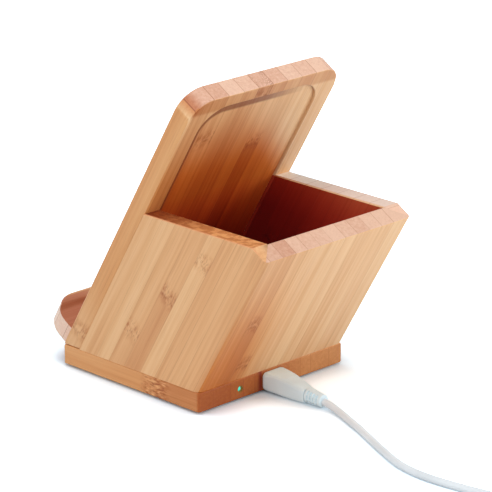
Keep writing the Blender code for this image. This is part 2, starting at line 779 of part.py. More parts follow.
def build_leads(mat):
    coil_depth = FRONT_SKIN + SEAT + COIL_STRAND_THICKNESS / 2
    slot_depth = FRONT_SKIN + 2 * SEAT + COIL_STRAND_THICKNESS + FERRITE_THICKNESS / 2
    outer_radius = COIL_INNER_RADIUS + COIL_TURNS * (COIL_STRAND_WIDTH + COIL_STRAND_GAP) + COIL_STRAND_WIDTH
    outer_end = COIL_HEIGHT - outer_radius - SEAT
    inner_end = COIL_HEIGHT - COIL_INNER_RADIUS - COIL_STRAND_WIDTH
    x = LEAD_SPACING / 2
    points = 60
    tube("coil_lead_outer", smooth_route(lead_route(-x, coil_depth, outer_end), points), LEAD_DIAMETER, mat)
    tube("coil_lead_inner", smooth_route(lead_route(x, slot_depth, inner_end), points), LEAD_DIAMETER, mat)


def build_card(mat):
    low, high = card_span()
    outline = rounded_rectangle((low, CARD_FRONT), (high, CARD_REAR), POCKET_CORNER, FINE_ARC_STEPS)
    card = from_bmesh("circuit_board", prism(outline, CARD_BOTTOM, CARD_TOP), mat)
    for i, (x, y) in enumerate(card_screw_places()):
        hole = circle((x, y), CARD_SCREW_SHANK / 2 + SEAT, SMALL_SIDES)
        cut = prism(hole, CARD_BOTTOM - CUT_OVERRUN, CARD_TOP + CUT_OVERRUN)
        boolean(card, cutter(f"card_screw_hole_{i + 1}", cut))
    return card


def build_card_screws(mat):
    shank = CARD_SCREW_SHANK / 2
    head = CARD_SCREW_HEAD / 2
    under = -SEAT / 2
    profile = [
        (under - CARD_SCREW_HEAD_HEIGHT, head),
        (under, head),
        (under, shank),
        (CARD_SCREW_LENGTH - CARD_SCREW_SHANK, shank),
        (CARD_SCREW_LENGTH, shank / 3),
    ]
    for i, (x, y) in enumerate(card_screw_places()):
        bm = turned(profile, along_z, (x, y, CARD_BOTTOM), SMALL_SIDES)
        from_bmesh(f"card_screw_{i + 1}", bm, mat, smooth=True)


def micro_outline(width, height, chamfer):
    """The socket's outline, centred on the port, with its two lower corners cut."""
    w, low, high = width / 2, SOCKET_Z - height / 2, SOCKET_Z + height / 2
    cut = low + chamfer
    return [(w, high), (-w, high), (-w, cut), (-w + chamfer, low), (w - chamfer, low), (w, cut)]


def build_socket(metal, plastic):
    mouth = HALF_DEPTH - SOCKET_INSET
    back = mouth - SOCKET_DEPTH
    outline = micro_outline(SOCKET_WIDTH, SOCKET_HEIGHT, SOCKET_CHAMFER)
    shell = from_bmesh("usb_socket_shell", prism(outline, back, mouth, along_y), metal)
    width, height = SOCKET_WIDTH - 2 * SOCKET_WALL, SOCKET_HEIGHT - 2 * SOCKET_WALL
    inside = micro_outline(width, height, SOCKET_CHAMFER)
    boolean(shell, cutter("socket_bore", prism(inside, back - CUT_OVERRUN, mouth + CUT_OVERRUN, along_y)))

    block = micro_outline(width - 2 * SEAT, height - 2 * SEAT, SOCKET_CHAMFER - SEAT)
    insulator = from_bmesh("usb_socket_insulator", prism(block, back, back + SOCKET_BACK, along_y), plastic)
    half_w, half_h = TONGUE_WIDTH / 2, TONGUE_THICKNESS / 2
    tongue = rectangle((-half_w, SOCKET_Z - half_h), (half_w, SOCKET_Z + half_h))
    root = back + SOCKET_BACK / 2
    boolean(insulator, cutter("socket_tongue", prism(tongue, root, root + TONGUE_LENGTH, along_y)), "UNION")


def build_led(mat):
    tip = HALF_DEPTH - LED_INSET
    radius = LED_DIAMETER / 2
    back = -LED_LENGTH
    profile = [
        (back, LED_FLANGE / 2),
        (back + LED_FLANGE_THICKNESS, LED_FLANGE / 2),
        (back + LED_FLANGE_THICKNESS, radius),
        (-radius, radius),
    ]
    dome = arc((-radius, 0.0), radius, math.pi / 2, 0.0, ARC_STEPS)
    profile += [(distance, max(size, LED_LEG / 2)) for distance, size in dome[1:]]
    led = from_bmesh("status_led", turned(profile, along_y, (LED_OFFSET, SOCKET_Z, tip)), mat, smooth=True)
    for side, name in ((-1, "led_leg_a"), (1, "led_leg_b")):
        x = LED_OFFSET + side * LED_LEG_PITCH / 4
        outline = rectangle((x - LED_LEG / 2, CARD_TOP + SEAT), (x + LED_LEG / 2, SOCKET_Z))
        start = tip + back - LED_LEG
        leg = cutter(name, prism(outline, start, start + 2 * LED_LEG, along_y))
        boolean(led, leg, "UNION")


def build_block(name, centre, size, mat, corner=0.0):
    (x, y), (w, d, h) = centre, size
    bottom = CARD_TOP + SEAT
    low, high = (x - w / 2, y - d / 2), (x + w / 2, y + d / 2)
    outline = rounded_rectangle(low, high, corner, FINE_ARC_STEPS) if corner else rectangle(low, high)
    from_bmesh(name, prism(outline, bottom, bottom + h), mat)


def build_components(chip, ceramic, core):
    """Chips, choke and capacitors on the circuit board, each clear of the next by a capacitor's width."""
    low, high = card_span()
    row = CARD_FRONT + CARD_LEDGE + CARD_BOSS + CHIP_SIDE / 2
    step = CHIP_SIDE + CAPACITOR_WIDTH
    first = low + CARD_BOSS + CAPACITOR_WIDTH
    build_block("controller_chip", (first, row), (CHIP_SIDE, CHIP_SIDE, CHIP_HEIGHT), chip)
    build_block("driver_chip", (first + step, row), (CHIP_SIDE, CHIP_SIDE, CHIP_HEIGHT), chip)
    size = (INDUCTOR_SIDE, INDUCTOR_SIDE, INDUCTOR_HEIGHT)
    build_block("input_choke", (first + 2 * step, row), size, core, INDUCTOR_CORNER)
    size = (CAPACITOR_LENGTH, CAPACITOR_WIDTH, CAPACITOR_HEIGHT)
    for i in range(3):
        place = (first + 3 * step, row + (i - 1) * 2 * CAPACITOR_WIDTH)
        build_block(f"tuning_capacitor_{i + 1}", place, size, ceramic)


def rounded_section(width, height, corner, y, z):
    low, high = (-width / 2, z - height / 2), (width / 2, z + height / 2)
    return [Vector((x, y, level)) for x, level in rounded_rectangle(low, high, corner, FINE_ARC_STEPS)]


def moulded_body(shares, start, end, length, corner, place):
    """A plug's moulded body, lofted from its front size to its rear size along +Y."""
    sections = []
    for along, wide, high in shares:
        width = start[0] + (end[0] - start[0]) * wide
        height = start[1] + (end[1] - start[1]) * high
        sections.append(rounded_section(width, height, corner, place[0] + length * along, place[1]))
    return loft(sections)


def bent_down(bm):
    """The micro plug's moulding, bent from the socket's height down towards the desk."""
    for vert in bm.verts:
        share = (vert.co.y - PLUG_FACE) / (CORD_START - PLUG_FACE)
        vert.co.z -= PLUG_SAG * share * share * (3 - 2 * share)
    return bm


def relief_profile(start, end, length):
    """A tapering sleeve with rings cut round it."""
    share = 1 / (2 * RELIEF_RIBS + 1)
    profile = [(0.0, start / 2)]
    for i in range(RELIEF_RIBS):
        near = (2 * i + 1) * share
        far = (2 * i + 2) * share
        for along in (near, far):
            radius = (start + (end - start) * along) / 2
            groove = radius - RELIEF_GROOVE
            pair = [(along * length, radius), (along * length, groove)]
            profile += pair if along == near else pair[::-1]
    profile.append((length, end / 2))
    return profile


def build_micro_plug(body, metal):
    front = (PLUG_WIDTH, PLUG_HEIGHT)
    rear = (PLUG_END_WIDTH, PLUG_END_HEIGHT)
    shape = moulded_body(PLUG_SECTION_SHARES, front, rear, PLUG_LENGTH, PLUG_CORNER, (PLUG_FACE, SOCKET_Z))
    from_bmesh("usb_plug_body", bent_down(shape), body, smooth=True)
    tip_end = HALF_DEPTH - SOCKET_INSET - PLUG_TIP_DEPTH
    outline = micro_outline(PLUG_TIP_WIDTH, PLUG_TIP_HEIGHT, PLUG_TIP_CHAMFER)
    tip = from_bmesh("usb_plug_tip", prism(outline, tip_end, PLUG_FACE - SEAT, along_y), metal)
    walls = 2 * PLUG_TIP_WALL
    inside = micro_outline(PLUG_TIP_WIDTH - walls, PLUG_TIP_HEIGHT - walls, PLUG_TIP_CHAMFER)
    bore = prism(inside, tip_end - CUT_OVERRUN, HALF_DEPTH - SOCKET_INSET, along_y)
    boolean(tip, cutter("plug_tip_bore", bore))
    profile = relief_profile(RELIEF_START, RELIEF_END, RELIEF_LENGTH)
    sleeve = turned(profile, along_y, (0.0, SOCKET_Z, RELIEF_FACE), SMALL_SIDES)
    from_bmesh("usb_plug_strain_relief", bent_down(sleeve), body, smooth=True)


def cord_route():
    exit_z = SOCKET_Z - PLUG_SAG
    drop = exit_z - CORD_Z
    places = [(across, CORD_START + along, exit_z - drop * share) for along, across, share in CORD_ROUTE]
    return [Vector(place) for place in places]


def hank_centre():
    end = cord_route()[-1]
    return Vector((end.x - HANK_RADIUS, end.y + SEAT + HANK_RUN, CORD_Z))


def hank_points():
    """Two layers of turns: in along the desk, a climb in the half turn at the middle, and out again."""
    centre = hank_centre()
    pitch = CORD_DIAMETER + HANK_TURN_GAP
    climb = CORD_DIAMETER + HANK_LAYER_GAP
    inner = HANK_RADIUS - pitch * HANK_TURNS
    points = [centre + Vector((HANK_RADIUS, -HANK_RUN * share, 0.0)) for share in (1.0, 0.5)]
    total = 2 * HANK_TURNS + 0.5
    count = round(total * HANK_STEPS)
    for i in range(count + 1):
        turn = total * i / count
        angle = 2 * math.pi * turn
        if turn <= HANK_TURNS:
            radius, height = HANK_RADIUS - pitch * turn, 0.0
        elif turn < HANK_TURNS + 0.5:
            way = (turn - HANK_TURNS) / 0.5
            radius = inner - HANK_DIP * math.sin(math.pi * way)
            height = climb * (1 - math.cos(math.pi * way)) / 2
        else:
            radius, height = inner + pitch * (turn - HANK_TURNS - 0.5), climb
        points.append(centre + Vector((radius * math.cos(angle), radius * math.sin(angle), height)))
    last = points[-1]
    drop = last.z - TYPE_A_HEIGHT / 2 - CORD_REST
    steps = FINE_ARC_STEPS + 2
    for i in range(1, steps + 1):
        way = i / (steps + 1)
        eased = (1 - math.cos(math.pi * way)) / 2
        points.append(last + Vector((0.0, -HANK_TAIL * way, -drop * eased)))
    points.append(last + Vector((0.0, -HANK_TAIL - CORD_DIAMETER, -drop)))
    points.insert(-1, last + Vector((0.0, -HANK_TAIL, -drop)))
    return points


def least_self_gap(points, diameter):
    """Smallest gap between two stretches of a tube that don't follow each other, read on finer points."""
    fine = []
    for a, b in zip(points[:-1], points[1:]):
        fine += [a.lerp(b, k / 4) for k in range(4)]
    skip = 24
    least = min((fine[i] - fine[j]).length for i in range(len(fine)) for j in range(i + skip, len(fine)))
    return least - diameter


def build_cord(mat):
    tube("cord", smooth_route(cord_route(), CORD_POINTS), CORD_DIAMETER, mat)
    points = hank_points()
    tube("cord_coil", points, CORD_DIAMETER, mat)
    length = sum((b - a).length for a, b in zip(points[:-1], points[1:]))
    gap = least_self_gap(points, CORD_DIAMETER)
    print("cord coil length %.4f m, least gap to itself %.5f m" % (length, gap))
    return points[-1]


def build_type_a_plug(end, body, metal, plastic):
    """The far plug, lying on the desk where the coil's tail ends; its frame turns +Y to point along -Y."""
    holder = frame("type_a_frame", (end.x, end.y - SEAT, end.z))
    holder.rotation_euler = (0.0, 0.0, math.pi)
    sleeve_profile = relief_profile(RELIEF_START, RELIEF_END, RELIEF_LENGTH)
    profile = [(RELIEF_LENGTH - along, radius) for along, radius in sleeve_profile][::-1]
    sleeve = turned(profile, along_y, (0.0, 0.0, 0.0), SMALL_SIDES)
    from_bmesh("type_a_strain_relief", sleeve, body, holder, smooth=True)

    start = RELIEF_LENGTH + SEAT
    shares = [(1 - along, wide, high) for along, wide, high in TYPE_A_SECTION_SHARES][::-1]
    front = (TYPE_A_WIDTH, TYPE_A_HEIGHT)
    rear = (PLUG_END_WIDTH, PLUG_END_HEIGHT)
    shape = moulded_body(shares, front, rear, TYPE_A_LENGTH, TYPE_A_CORNER, (start, 0.0))
    from_bmesh("type_a_plug_body", shape, body, holder, smooth=True)

    face = start + TYPE_A_LENGTH + SEAT
    half_w, half_h = TYPE_A_SHELL_WIDTH / 2, TYPE_A_SHELL_HEIGHT / 2
    wall = TYPE_A_SHELL_WALL
    outline = rounded_rectangle((-half_w, -half_h), (half_w, half_h), wall, FINE_ARC_STEPS)
    tip = face + TYPE_A_SHELL_LENGTH
    shell = from_bmesh("type_a_plug_shell", prism(outline, face, tip, along_y), metal, holder)
    w, h = half_w - wall, half_h - wall
    bore = prism(rectangle((-w, -h), (w, h)), face - CUT_OVERRUN, tip + CUT_OVERRUN, along_y)
    boolean(shell, cutter("type_a_shell_bore", bore, holder))
    w, low = w - SEAT, -h + SEAT
    tongue = rectangle((-w, low), (w, low + TYPE_A_TONGUE_HEIGHT))
    block = prism(tongue, face, tip - TYPE_A_TONGUE_SHORT, along_y)
    from_bmesh("type_a_plug_tongue", block, plastic, holder)


def hang_from(root):
    for obj in list(bpy.data.objects):
        if obj.parent is None and obj != root:
            obj.parent = root


def build():
    clear_scene()
    bamboo = material("bamboo", (0.70, 0.44, 0.22), 0.45)
    bamboo_pale = material("bamboo pale", (0.76, 0.52, 0.30), 0.45)
    rubber = material("foot rubber", (0.03, 0.03, 0.03), 0.85)
    black_plastic = material("black plastic", (0.03, 0.03, 0.03), 0.5)
    steel = material("steel", (0.55, 0.55, 0.56), 0.3, 1.0)
    copper = material("copper strand", (0.72, 0.33, 0.16), 0.35, 1.0)
    ferrite = material("ferrite", (0.05, 0.05, 0.05), 0.6)
    card_green = material("circuit board green", (0.02, 0.18, 0.08), 0.5)
    chip_black = material("chip black", (0.02, 0.02, 0.02), 0.4)
    ceramic = material("capacitor ceramic", (0.45, 0.32, 0.18), 0.5)
    led_lens = material("led lens", (0.05, 0.75, 0.60), 0.2)
    cable_white = material("cable white", (0.78, 0.80, 0.80), 0.5)
    lead_red = material("lead sleeve", (0.50, 0.22, 0.10), 0.5)

    leaning = frame("lean_frame", (0.0, -HALF_DEPTH, BASE_TOP))
    leaning.rotation_euler = (-LEAN, 0.0, 0.0)

    build_base(bamboo)
    build_cover(black_plastic)
    build_cover_screws(steel)
    build_feet(rubber)
    build_front_plate(leaning, bamboo)
    build_panel(leaning, bamboo_pale)
    build_ledge(leaning, bamboo)
    build_side_wall("side_wall_left", -1, leaning, bamboo)
    build_side_wall("side_wall_right", 1, leaning, bamboo)
    build_rear_wall(leaning, bamboo)
    build_charging_coil(leaning, copper)
    build_ferrite(leaning, ferrite)
    build_leads(lead_red)
    build_card(card_green)
    build_card_screws(steel)
    build_socket(steel, black_plastic)
    build_led(led_lens)
    build_components(chip_black, ceramic, ferrite)
    build_micro_plug(cable_white, steel)
    tail = build_cord(cable_white)
    build_type_a_plug(tail, cable_white, steel, black_plastic)
    hang_from(frame("stand_frame", (0.0, -stand_middle(), 0.0)))


build()
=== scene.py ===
# Bamboo phone stand with a wireless charger and a pen box: its surfaces' finish, its cable and a studio.
# Metres, +Z up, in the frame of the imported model. The phone side faces -Y, and the near side wall +X.

import math

import bmesh
import bpy
import numpy as np
from mathutils import Matrix, Vector
from mathutils.bvhtree import BVHTree


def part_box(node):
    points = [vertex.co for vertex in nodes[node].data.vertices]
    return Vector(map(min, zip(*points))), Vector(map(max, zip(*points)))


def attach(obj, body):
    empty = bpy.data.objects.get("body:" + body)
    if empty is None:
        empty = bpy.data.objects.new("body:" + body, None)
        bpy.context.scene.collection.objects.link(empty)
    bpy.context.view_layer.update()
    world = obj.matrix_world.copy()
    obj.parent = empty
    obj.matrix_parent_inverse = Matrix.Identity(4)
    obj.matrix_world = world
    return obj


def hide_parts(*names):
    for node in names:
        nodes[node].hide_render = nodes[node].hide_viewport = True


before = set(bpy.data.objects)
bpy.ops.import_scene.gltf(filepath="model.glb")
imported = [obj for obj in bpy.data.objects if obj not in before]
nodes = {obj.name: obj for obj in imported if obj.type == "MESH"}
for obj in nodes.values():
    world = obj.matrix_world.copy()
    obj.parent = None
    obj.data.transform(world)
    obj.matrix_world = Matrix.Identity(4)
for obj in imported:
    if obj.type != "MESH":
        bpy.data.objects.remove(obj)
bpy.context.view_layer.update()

# Camera, fitted to the photograph's edges
PHOTO_SIDE = 492
SENSOR = 36.0
FOCAL_PIXELS = 3027.3
CAMERA_AZIMUTH = math.radians(135.187)
CAMERA_ELEVATION = math.radians(18.426)
CAMERA_ROLL = math.radians(-0.05)
CAMERA_PLACE = Vector((0.8704, 0.8906, 0.4731))
CLIP_START = 0.01
CLIP_END = 50.0

# Cable
GAP = 0.0003
CORD_DIAMETER = 0.0032
CORD_Z = CORD_DIAMETER / 2 + 0.00005
CORD_STEPS = 8                    # points on the cord between two points of its route
CORD_ROUNDNESS = 6
HANK_RADIUS = 0.0272
HANK_TURNS = 3                    # in each of the two layers
HANK_STEPS = 48                   # points in a turn
HANK_TURN_GAP = 0.0006
HANK_LAYER_GAP = 0.0006
HANK_DIP = 0.0010                 # inward bow where the cord climbs a layer
HANK_CLIMB = 0.5                  # turns that the climb takes
HANK_RUN = 0.0070
HANK_TAIL = 0.0135
HANK_TAIL_STEPS = 10
TYPE_A_HEIGHT = 0.0078
PLUG_SAG = 0.0025                 # how far the small plug's moulding bends down towards the desk

# Cord's route on the desk, measured from the plug's strain relief: along +Y, across +X, share of the drop
CORD_ROUTE = (
    (0.0000, 0.0000, 0.00),
    (0.0045, 0.0005, 0.35),
    (0.0085, 0.0013, 0.78),
    (0.0134, 0.0029, 1.00),
    (0.0189, 0.0052, 1.00),
    (0.0302, 0.0099, 1.00),
    (0.0420, 0.0154, 1.00),
    (0.0540, 0.0209, 1.00),
    (0.0646, 0.0253, 1.00),
    (0.0733, 0.0276, 1.00),
    (0.0827, 0.0284, 1.00),
    (0.0920, 0.0279, 1.00),
    (0.1040, 0.0262, 1.00),
    (0.1155, 0.0241, 1.00),
    (0.1254, 0.0230, 1.00),
    (0.1304, 0.0230, 1.00),
)

# Lean of the plate and the pen box, about the base's front top edge
LEAN = math.radians(30.7)
BASE_LOW, BASE_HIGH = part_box("base_board")
LEAN_ORIGIN = Vector((0.0, BASE_LOW.y, BASE_HIGH.z))
ALONG = Vector((0.0, math.sin(LEAN), math.cos(LEAN)))
DEPTH = Vector((0.0, math.cos(LEAN), -math.sin(LEAN)))

# Boards
HALF = BASE_HIGH.x
BOARD = 0.0090
PANEL_RECESS = 0.0012             # cover panel below the plate's rear face
PANEL_HALF = 0.0347
PANEL_TOP = 0.1446
PANEL_CORNER = 0.0130
REAR_OUTER = 0.07369              # rear wall's outer face, behind the plate's front face
LEDGE_REACH = 0.0173              # ledge's front, before the plate's front face
RIM_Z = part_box("side_wall_right")[1].z
LEVEL_FROM = 0.000                # where the colour of the side walls' level rims changes along +Y
LEVEL_TO = 0.034


def make_camera():
    data = bpy.data.cameras.new("camera")
    data.sensor_width = SENSOR
    data.lens = FOCAL_PIXELS / PHOTO_SIDE * SENSOR
    data.clip_start = CLIP_START
    data.clip_end = CLIP_END
    camera = bpy.data.objects.new("camera", data)
    bpy.context.scene.collection.objects.link(camera)
    reach = math.cos(CAMERA_ELEVATION)
    forward = Vector((-math.sin(CAMERA_AZIMUTH) * reach, math.cos(CAMERA_AZIMUTH) * reach,
                      -math.sin(CAMERA_ELEVATION)))
    turn = forward.to_track_quat("-Z", "Y").to_matrix() @ Matrix.Rotation(CAMERA_ROLL, 3, "Z")
    camera.matrix_world = Matrix.Translation(CAMERA_PLACE) @ turn.to_4x4()
    bpy.context.scene.camera = camera


make_camera()


def smooth_points(points, per_span):
    """Points on a Catmull-Rom curve through the given ones."""
    padded = [points[0] * 2 - points[1]] + list(points) + [points[-1] * 2 - points[-2]]
    fine = []
    for i in range(len(points) - 1):
        p0, p1, p2, p3 = padded[i:i + 4]
        for k in range(per_span):
            t = k / per_span
            fine.append(0.5 * (2 * p1 + (p2 - p0) * t + (2 * p0 - 5 * p1 + 4 * p2 - p3) * t ** 2
                               + (3 * p1 - p0 - 3 * p2 + p3) * t ** 3))
    fine.append(points[-1].copy())
    return fine


def socket_middle():
    low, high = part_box("usb_socket_shell")
    return (low.z + high.z) / 2


def desk_points():
    exit_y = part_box("usb_plug_strain_relief")[1].y + GAP
    exit_z = socket_middle() - PLUG_SAG
    drop = exit_z - CORD_Z
    return [Vector((across, exit_y + along, exit_z - drop * share)) for along, across, share in CORD_ROUTE]


def coil_points(entry):
    """Two layers of turns: in along the desk, a climb in the half turn at the middle, and out again."""
    centre = Vector((entry.x - HANK_RADIUS, entry.y + GAP + HANK_RUN, CORD_Z))
    pitch = CORD_DIAMETER + HANK_TURN_GAP
    climb = CORD_DIAMETER + HANK_LAYER_GAP
    inner = HANK_RADIUS - pitch * HANK_TURNS
    points = [centre + Vector((HANK_RADIUS, -HANK_RUN / 2, 0.0))]
    total = 2 * HANK_TURNS + HANK_CLIMB
    count = round(total * HANK_STEPS)
    for i in range(count + 1):
        turn = total * i / count
        angle = 2 * math.pi * turn
        if turn <= HANK_TURNS:
            radius, height = HANK_RADIUS - pitch * turn, 0.0
        elif turn < HANK_TURNS + HANK_CLIMB:
            way = (turn - HANK_TURNS) / HANK_CLIMB
            radius = inner - HANK_DIP * math.sin(math.pi * way)
            height = climb * (1 - math.cos(math.pi * way)) / 2
        else:
            radius, height = inner + pitch * (turn - HANK_TURNS - HANK_CLIMB), climb
        points.append(centre + Vector((radius * math.cos(angle), radius * math.sin(angle), height)))
    last = points[-1]
    drop = last.z - TYPE_A_HEIGHT / 2 - CORD_Z + CORD_DIAMETER / 2
    for i in range(1, HANK_TAIL_STEPS + 1):
        way = i / HANK_TAIL_STEPS
        eased = (1 - math.cos(math.pi * way)) / 2
        points.append(last + Vector((0.0, -HANK_TAIL * way, -drop * eased)))
    points.append(last + Vector((0.0, -HANK_TAIL - CORD_DIAMETER, -drop)))
    return points


def make_cable():
    desk = desk_points()
    points = smooth_points(desk, CORD_STEPS) + coil_points(desk[-1])
    curve = bpy.data.curves.new("charging_cable", "CURVE")
    curve.dimensions = "3D"
    curve.bevel_depth = 1.0
    curve.bevel_resolution = CORD_ROUNDNESS
    curve.use_fill_caps = True
    spline = curve.splines.new("POLY")
    spline.points.add(len(points) - 1)
    for target, point in zip(spline.points, points):
        target.co = (*point, 1.0)
        target.radius = CORD_DIAMETER / 2
    spline.use_smooth = True
    cable = bpy.data.objects.new("charging_cable", curve)
    bpy.context.scene.collection.objects.link(cable)
    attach(cable, "cable")
    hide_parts("cord", "cord_coil")
    length = sum((b - a).length for a, b in zip(points[:-1], points[1:]))
    print("cable length %.4f m" % length)
    return cable, points[0], length


cable, cable_start, cable_length = make_cable()


class Tree:
    """A node tree with short ways to add and join nodes."""

    def __init__(self, tree, output):
        self.tree = tree
        self.output = tree.nodes[output]

    def add(self, kind, inputs=None, **settings):
        made = self.tree.nodes.new(kind)
        for name, value in settings.items():
            setattr(made, name, value)
        for name, value in (inputs or {}).items():
            self.put(made.inputs[name], value)
        return made

    def put(self, socket, value):
        if isinstance(value, bpy.types.NodeSocket):
            self.tree.links.new(value, socket)
        else:
            socket.default_value = value

    def math(self, operation, a, b=0.0, c=0.0, clamp=False):
        made = self.add("ShaderNodeMath", {0: a, 1: b, 2: c}, operation=operation, use_clamp=clamp)
        return made.outputs[0]

    def squared(self, value):
        return self.math("MULTIPLY", value, value)

    def choose(self, bounced, seen):
        """One surface for bounced light and one for the camera, also in a reflection or through glass."""
        path = self.add("ShaderNodeLightPath").outputs
        direct = self.math("MAXIMUM", path["Is Camera Ray"], path["Is Glossy Ray"])
        direct = self.math("MAXIMUM", direct, path["Is Transmission Ray"])
        chosen = self.add("ShaderNodeMixShader", {0: direct, 1: bounced.outputs[0], 2: seen.outputs[0]})
        self.put(self.output.inputs["Surface"], chosen.outputs[0])


class Shader(Tree):
    """A material with its node tree."""

    def __init__(self, name):
        self.material = bpy.data.materials.new(name)
        self.material.use_nodes = True
        super().__init__(self.material.node_tree, "Material Output")
        self.surface = self.tree.nodes["Principled BSDF"]

    def attribute(self, name):
        return self.add("ShaderNodeAttribute", attribute_type="GEOMETRY", attribute_name=name)

    def place_on_object(self):
        return self.add("ShaderNodeTexCoord").outputs["Object"]

    def parts(self, vector):
        return self.add("ShaderNodeSeparateXYZ", {0: vector}).outputs

    def vector(self, x, y, z):
        return self.add("ShaderNodeCombineXYZ", {0: x, 1: y, 2: z}).outputs[0]

    def dot(self, vector, direction):
        made = self.add("ShaderNodeVectorMath", {0: vector, 1: tuple(direction)}, operation="DOT_PRODUCT")
        return made.outputs["Value"]

    def noise(self, vector, scale, detail=2.0, roughness=0.5):
        made = self.add("ShaderNodeTexNoise", {"Vector": vector, "Scale": scale, "Detail": detail,
                                               "Roughness": roughness})
        return made.outputs["Fac"]

    def span(self, value, low, high, to_low=0.0, to_high=1.0, smooth=False):
        """A value's way from low to high, as a number from to_low to to_high that stays between the two."""
        kind = "SMOOTHSTEP" if smooth else "LINEAR"
        inputs = {"Value": value, "From Min": low, "From Max": high, "To Min": to_low, "To Max": to_high}
        return self.add("ShaderNodeMapRange", inputs, interpolation_type=kind).outputs["Result"]

    def sway(self, noise, to_low, to_high):
        """Noise, which seldom leaves its middle part, as a number from to_low to to_high."""
        return self.span(noise, *NOISE_MIDDLE, to_low, to_high)

    def ramp(self, factor, stops):
        made = self.add("ShaderNodeValToRGB", {0: factor})
        elements = made.color_ramp.elements
        while len(elements) < len(stops):
            elements.new(1.0)
        for element, (place, colour) in zip(elements, stops):
            element.position = place
            element.color = (*colour, 1.0)
        return made.outputs["Color"]

    def mix(self, factor, a, b, blend="MIX"):
        made = self.add("ShaderNodeMix", data_type="RGBA", blend_type=blend, clamp_factor=True)
        self.put(made.inputs[0], factor)
        for index, value in ((6, a), (7, b)):
            self.put(made.inputs[index], (*value, 1.0) if isinstance(value, tuple) else value)
        return made.outputs[2]

    def tinted(self, colour, tint):
        return self.mix(1.0, colour, tint, blend="MULTIPLY")

    def bump(self, height, distance, strength):
        made = self.add("ShaderNodeBump", {"Height": height, "Distance": distance, "Strength": strength})
        self.tree.links.new(made.outputs["Normal"], self.surface.inputs["Normal"])

    def set(self, **values):
        for name, value in values.items():
            socket = self.surface.inputs[name.replace("_", " ")]
            self.put(socket, (*value, 1.0) if isinstance(value, tuple) else value)


def rgb(red, green, blue):
    """A colour written as the eye names it, 0 to 255, as the linear values that shaders take."""
    def linear(value):
        value /= 255
        return value / 12.92 if value <= 0.04045 else ((value + 0.055) / 1.055) ** 2.4
    return linear(red), linear(green), linear(blue)


WHITE = (1.0, 1.0, 1.0)
NOISE_MIDDLE = (0.3, 0.7)

# Bamboo colours
PALE = rgb(240, 202, 156)
STRAW = rgb(230, 184, 136)
TAN = rgb(215, 161, 113)
BROWN = rgb(194, 133, 86)
KNOT = rgb(158, 94, 56)
END_PALE = rgb(240, 200, 172)
END_BROWN = rgb(212, 156, 126)
BLOTCH = rgb(196, 160, 130)
SPECK_PALE = rgb(248, 226, 208)
SPECK_DARK = rgb(150, 98, 74)
INSIDE = rgb(168, 48, 30)         # what the pen box's shade multiplies a colour by at a depth of 1
# painted shadow on the cover panel where the pocket's border shades it
EDGE_SHADOW = rgb(128, 66, 36)
TONES = ((0.0, PALE), (0.3, STRAW), (0.62, TAN), (1.0, BROWN))

# Bamboo's grain: how often it changes in a metre, across a strip and along it
DRIFT = (150.0, 7.0)
STREAKS = (620.0, 11.0)
PATCHES = (330.0, 190.0)
FIBRES = (2500.0, 34.0)
KNOT_WAVE = (110.0, 20.0)
KNOT_DASHES = (1700.0, 430.0)
DRIFT_STRENGTH = 0.13
STREAK_STRENGTH = 0.15
PATCH_NOISE = (0.40, 0.62)
FIBRE_DARK = (0.54, 0.74, 0.0, 0.24)    # from one value of the noise to another, and the strength at each
FIBRE_PALE = (0.46, 0.28, 0.0, 0.22)
SEED_SHIFT = 5.3                  # keeps one strip's grain unlike the next one's

# Knots, with distances from a knot's middle
KNOT_CORE = 0.0006
KNOT_REACH = 0.0070
KNOT_WAVE_REACH = 0.0024
KNOT_WAVE_NOISE = (0.2, 0.8)
KNOT_SMEAR = 0.55
KNOT_CONTRAST = 0.46
DASH_DARK = (0.52, 0.66)
DASH_PALE = (0.48, 0.34)
DASH_PALE_LESS = 0.06             # contrast that the pale dashes have less than the dark ones
TONE_BLEND = 0.0020               # from the tone below a knot to the tone above it
SCAR_BOW = 70.0                   # how far a scar bows, for the squared distance from the strip's middle
SCAR_CORE = 0.0002
SCAR_FADE = 0.0011
SCAR_BELOW = 0.0014               # from the pale line down to the dark one
SCAR_PALE = 0.34
SCAR_DARK = 0.30
SCAR_BROKEN = (0.2, 0.8, 0.2, 1.0)

# End grain: how often it changes in a metre
END_DOTS = 1500.0
END_MOTTLE = 700.0
END_BLOTCH = (190.0, 300.0)       # across a strip and through its depth
BLOCK_MIDDLE = 0.4                # tone about which the contrast of the strips' ends is raised
BLOCK_CONTRAST = 1.5
BLOCK_VARIATION = 0.20
BLOCK_DRAW = 0.731
MOTTLE_STRENGTH = 0.26
PORE_SPREAD = 0.9                 # how unevenly the pores are spread
PORE_PALE = (0.10, 0.34, 0.9, 0.0)      # from one distance to another from a pore, and the strength at each
PORE_DARK = (0.42, 0.62, 0.0, 0.55)
PORES_OFF_KNOT = (0.0035, 0.0060, 1.0, 0.12)
BLOTCH_NOISE = (0.47, 0.53)

# Glue lines between strips, and the painted shadow line at the cover panel's edge
SEAM_HALF_WIDTH = 0.00012
SEAM_FADE = (0.4, 2.0)            # half widths between which a glue line fades
SEAM_STRENGTH = (0.12, 0.45)      # weakest and strongest
SEAM_DRAW = 1.7
SEAM_ON_END = 1.8
EDGE_SOLID = 0.0022
EDGE_FADE = 0.0036
EDGE_STRENGTH = 0.80
EDGE_END = 0.0040                 # how far from the panel's far side the line begins

# Finish, and the shade inside the pen box
GRAIN_DEPTH = 0.00005
GRAIN_STRENGTH = 0.3
FIBRE_HEIGHT = 0.5                # of the bump's full height
ROUGHNESS = (0.46, 0.58)
INSIDE_ROUGHNESS = 0.35
INSIDE_REACH = (0.030, 0.045)     # the shade's start above the rim, and the height over which it grows
INSIDE_FROM = 0.005               # where the shade's depth changes along +Y
INSIDE_TO = 0.045


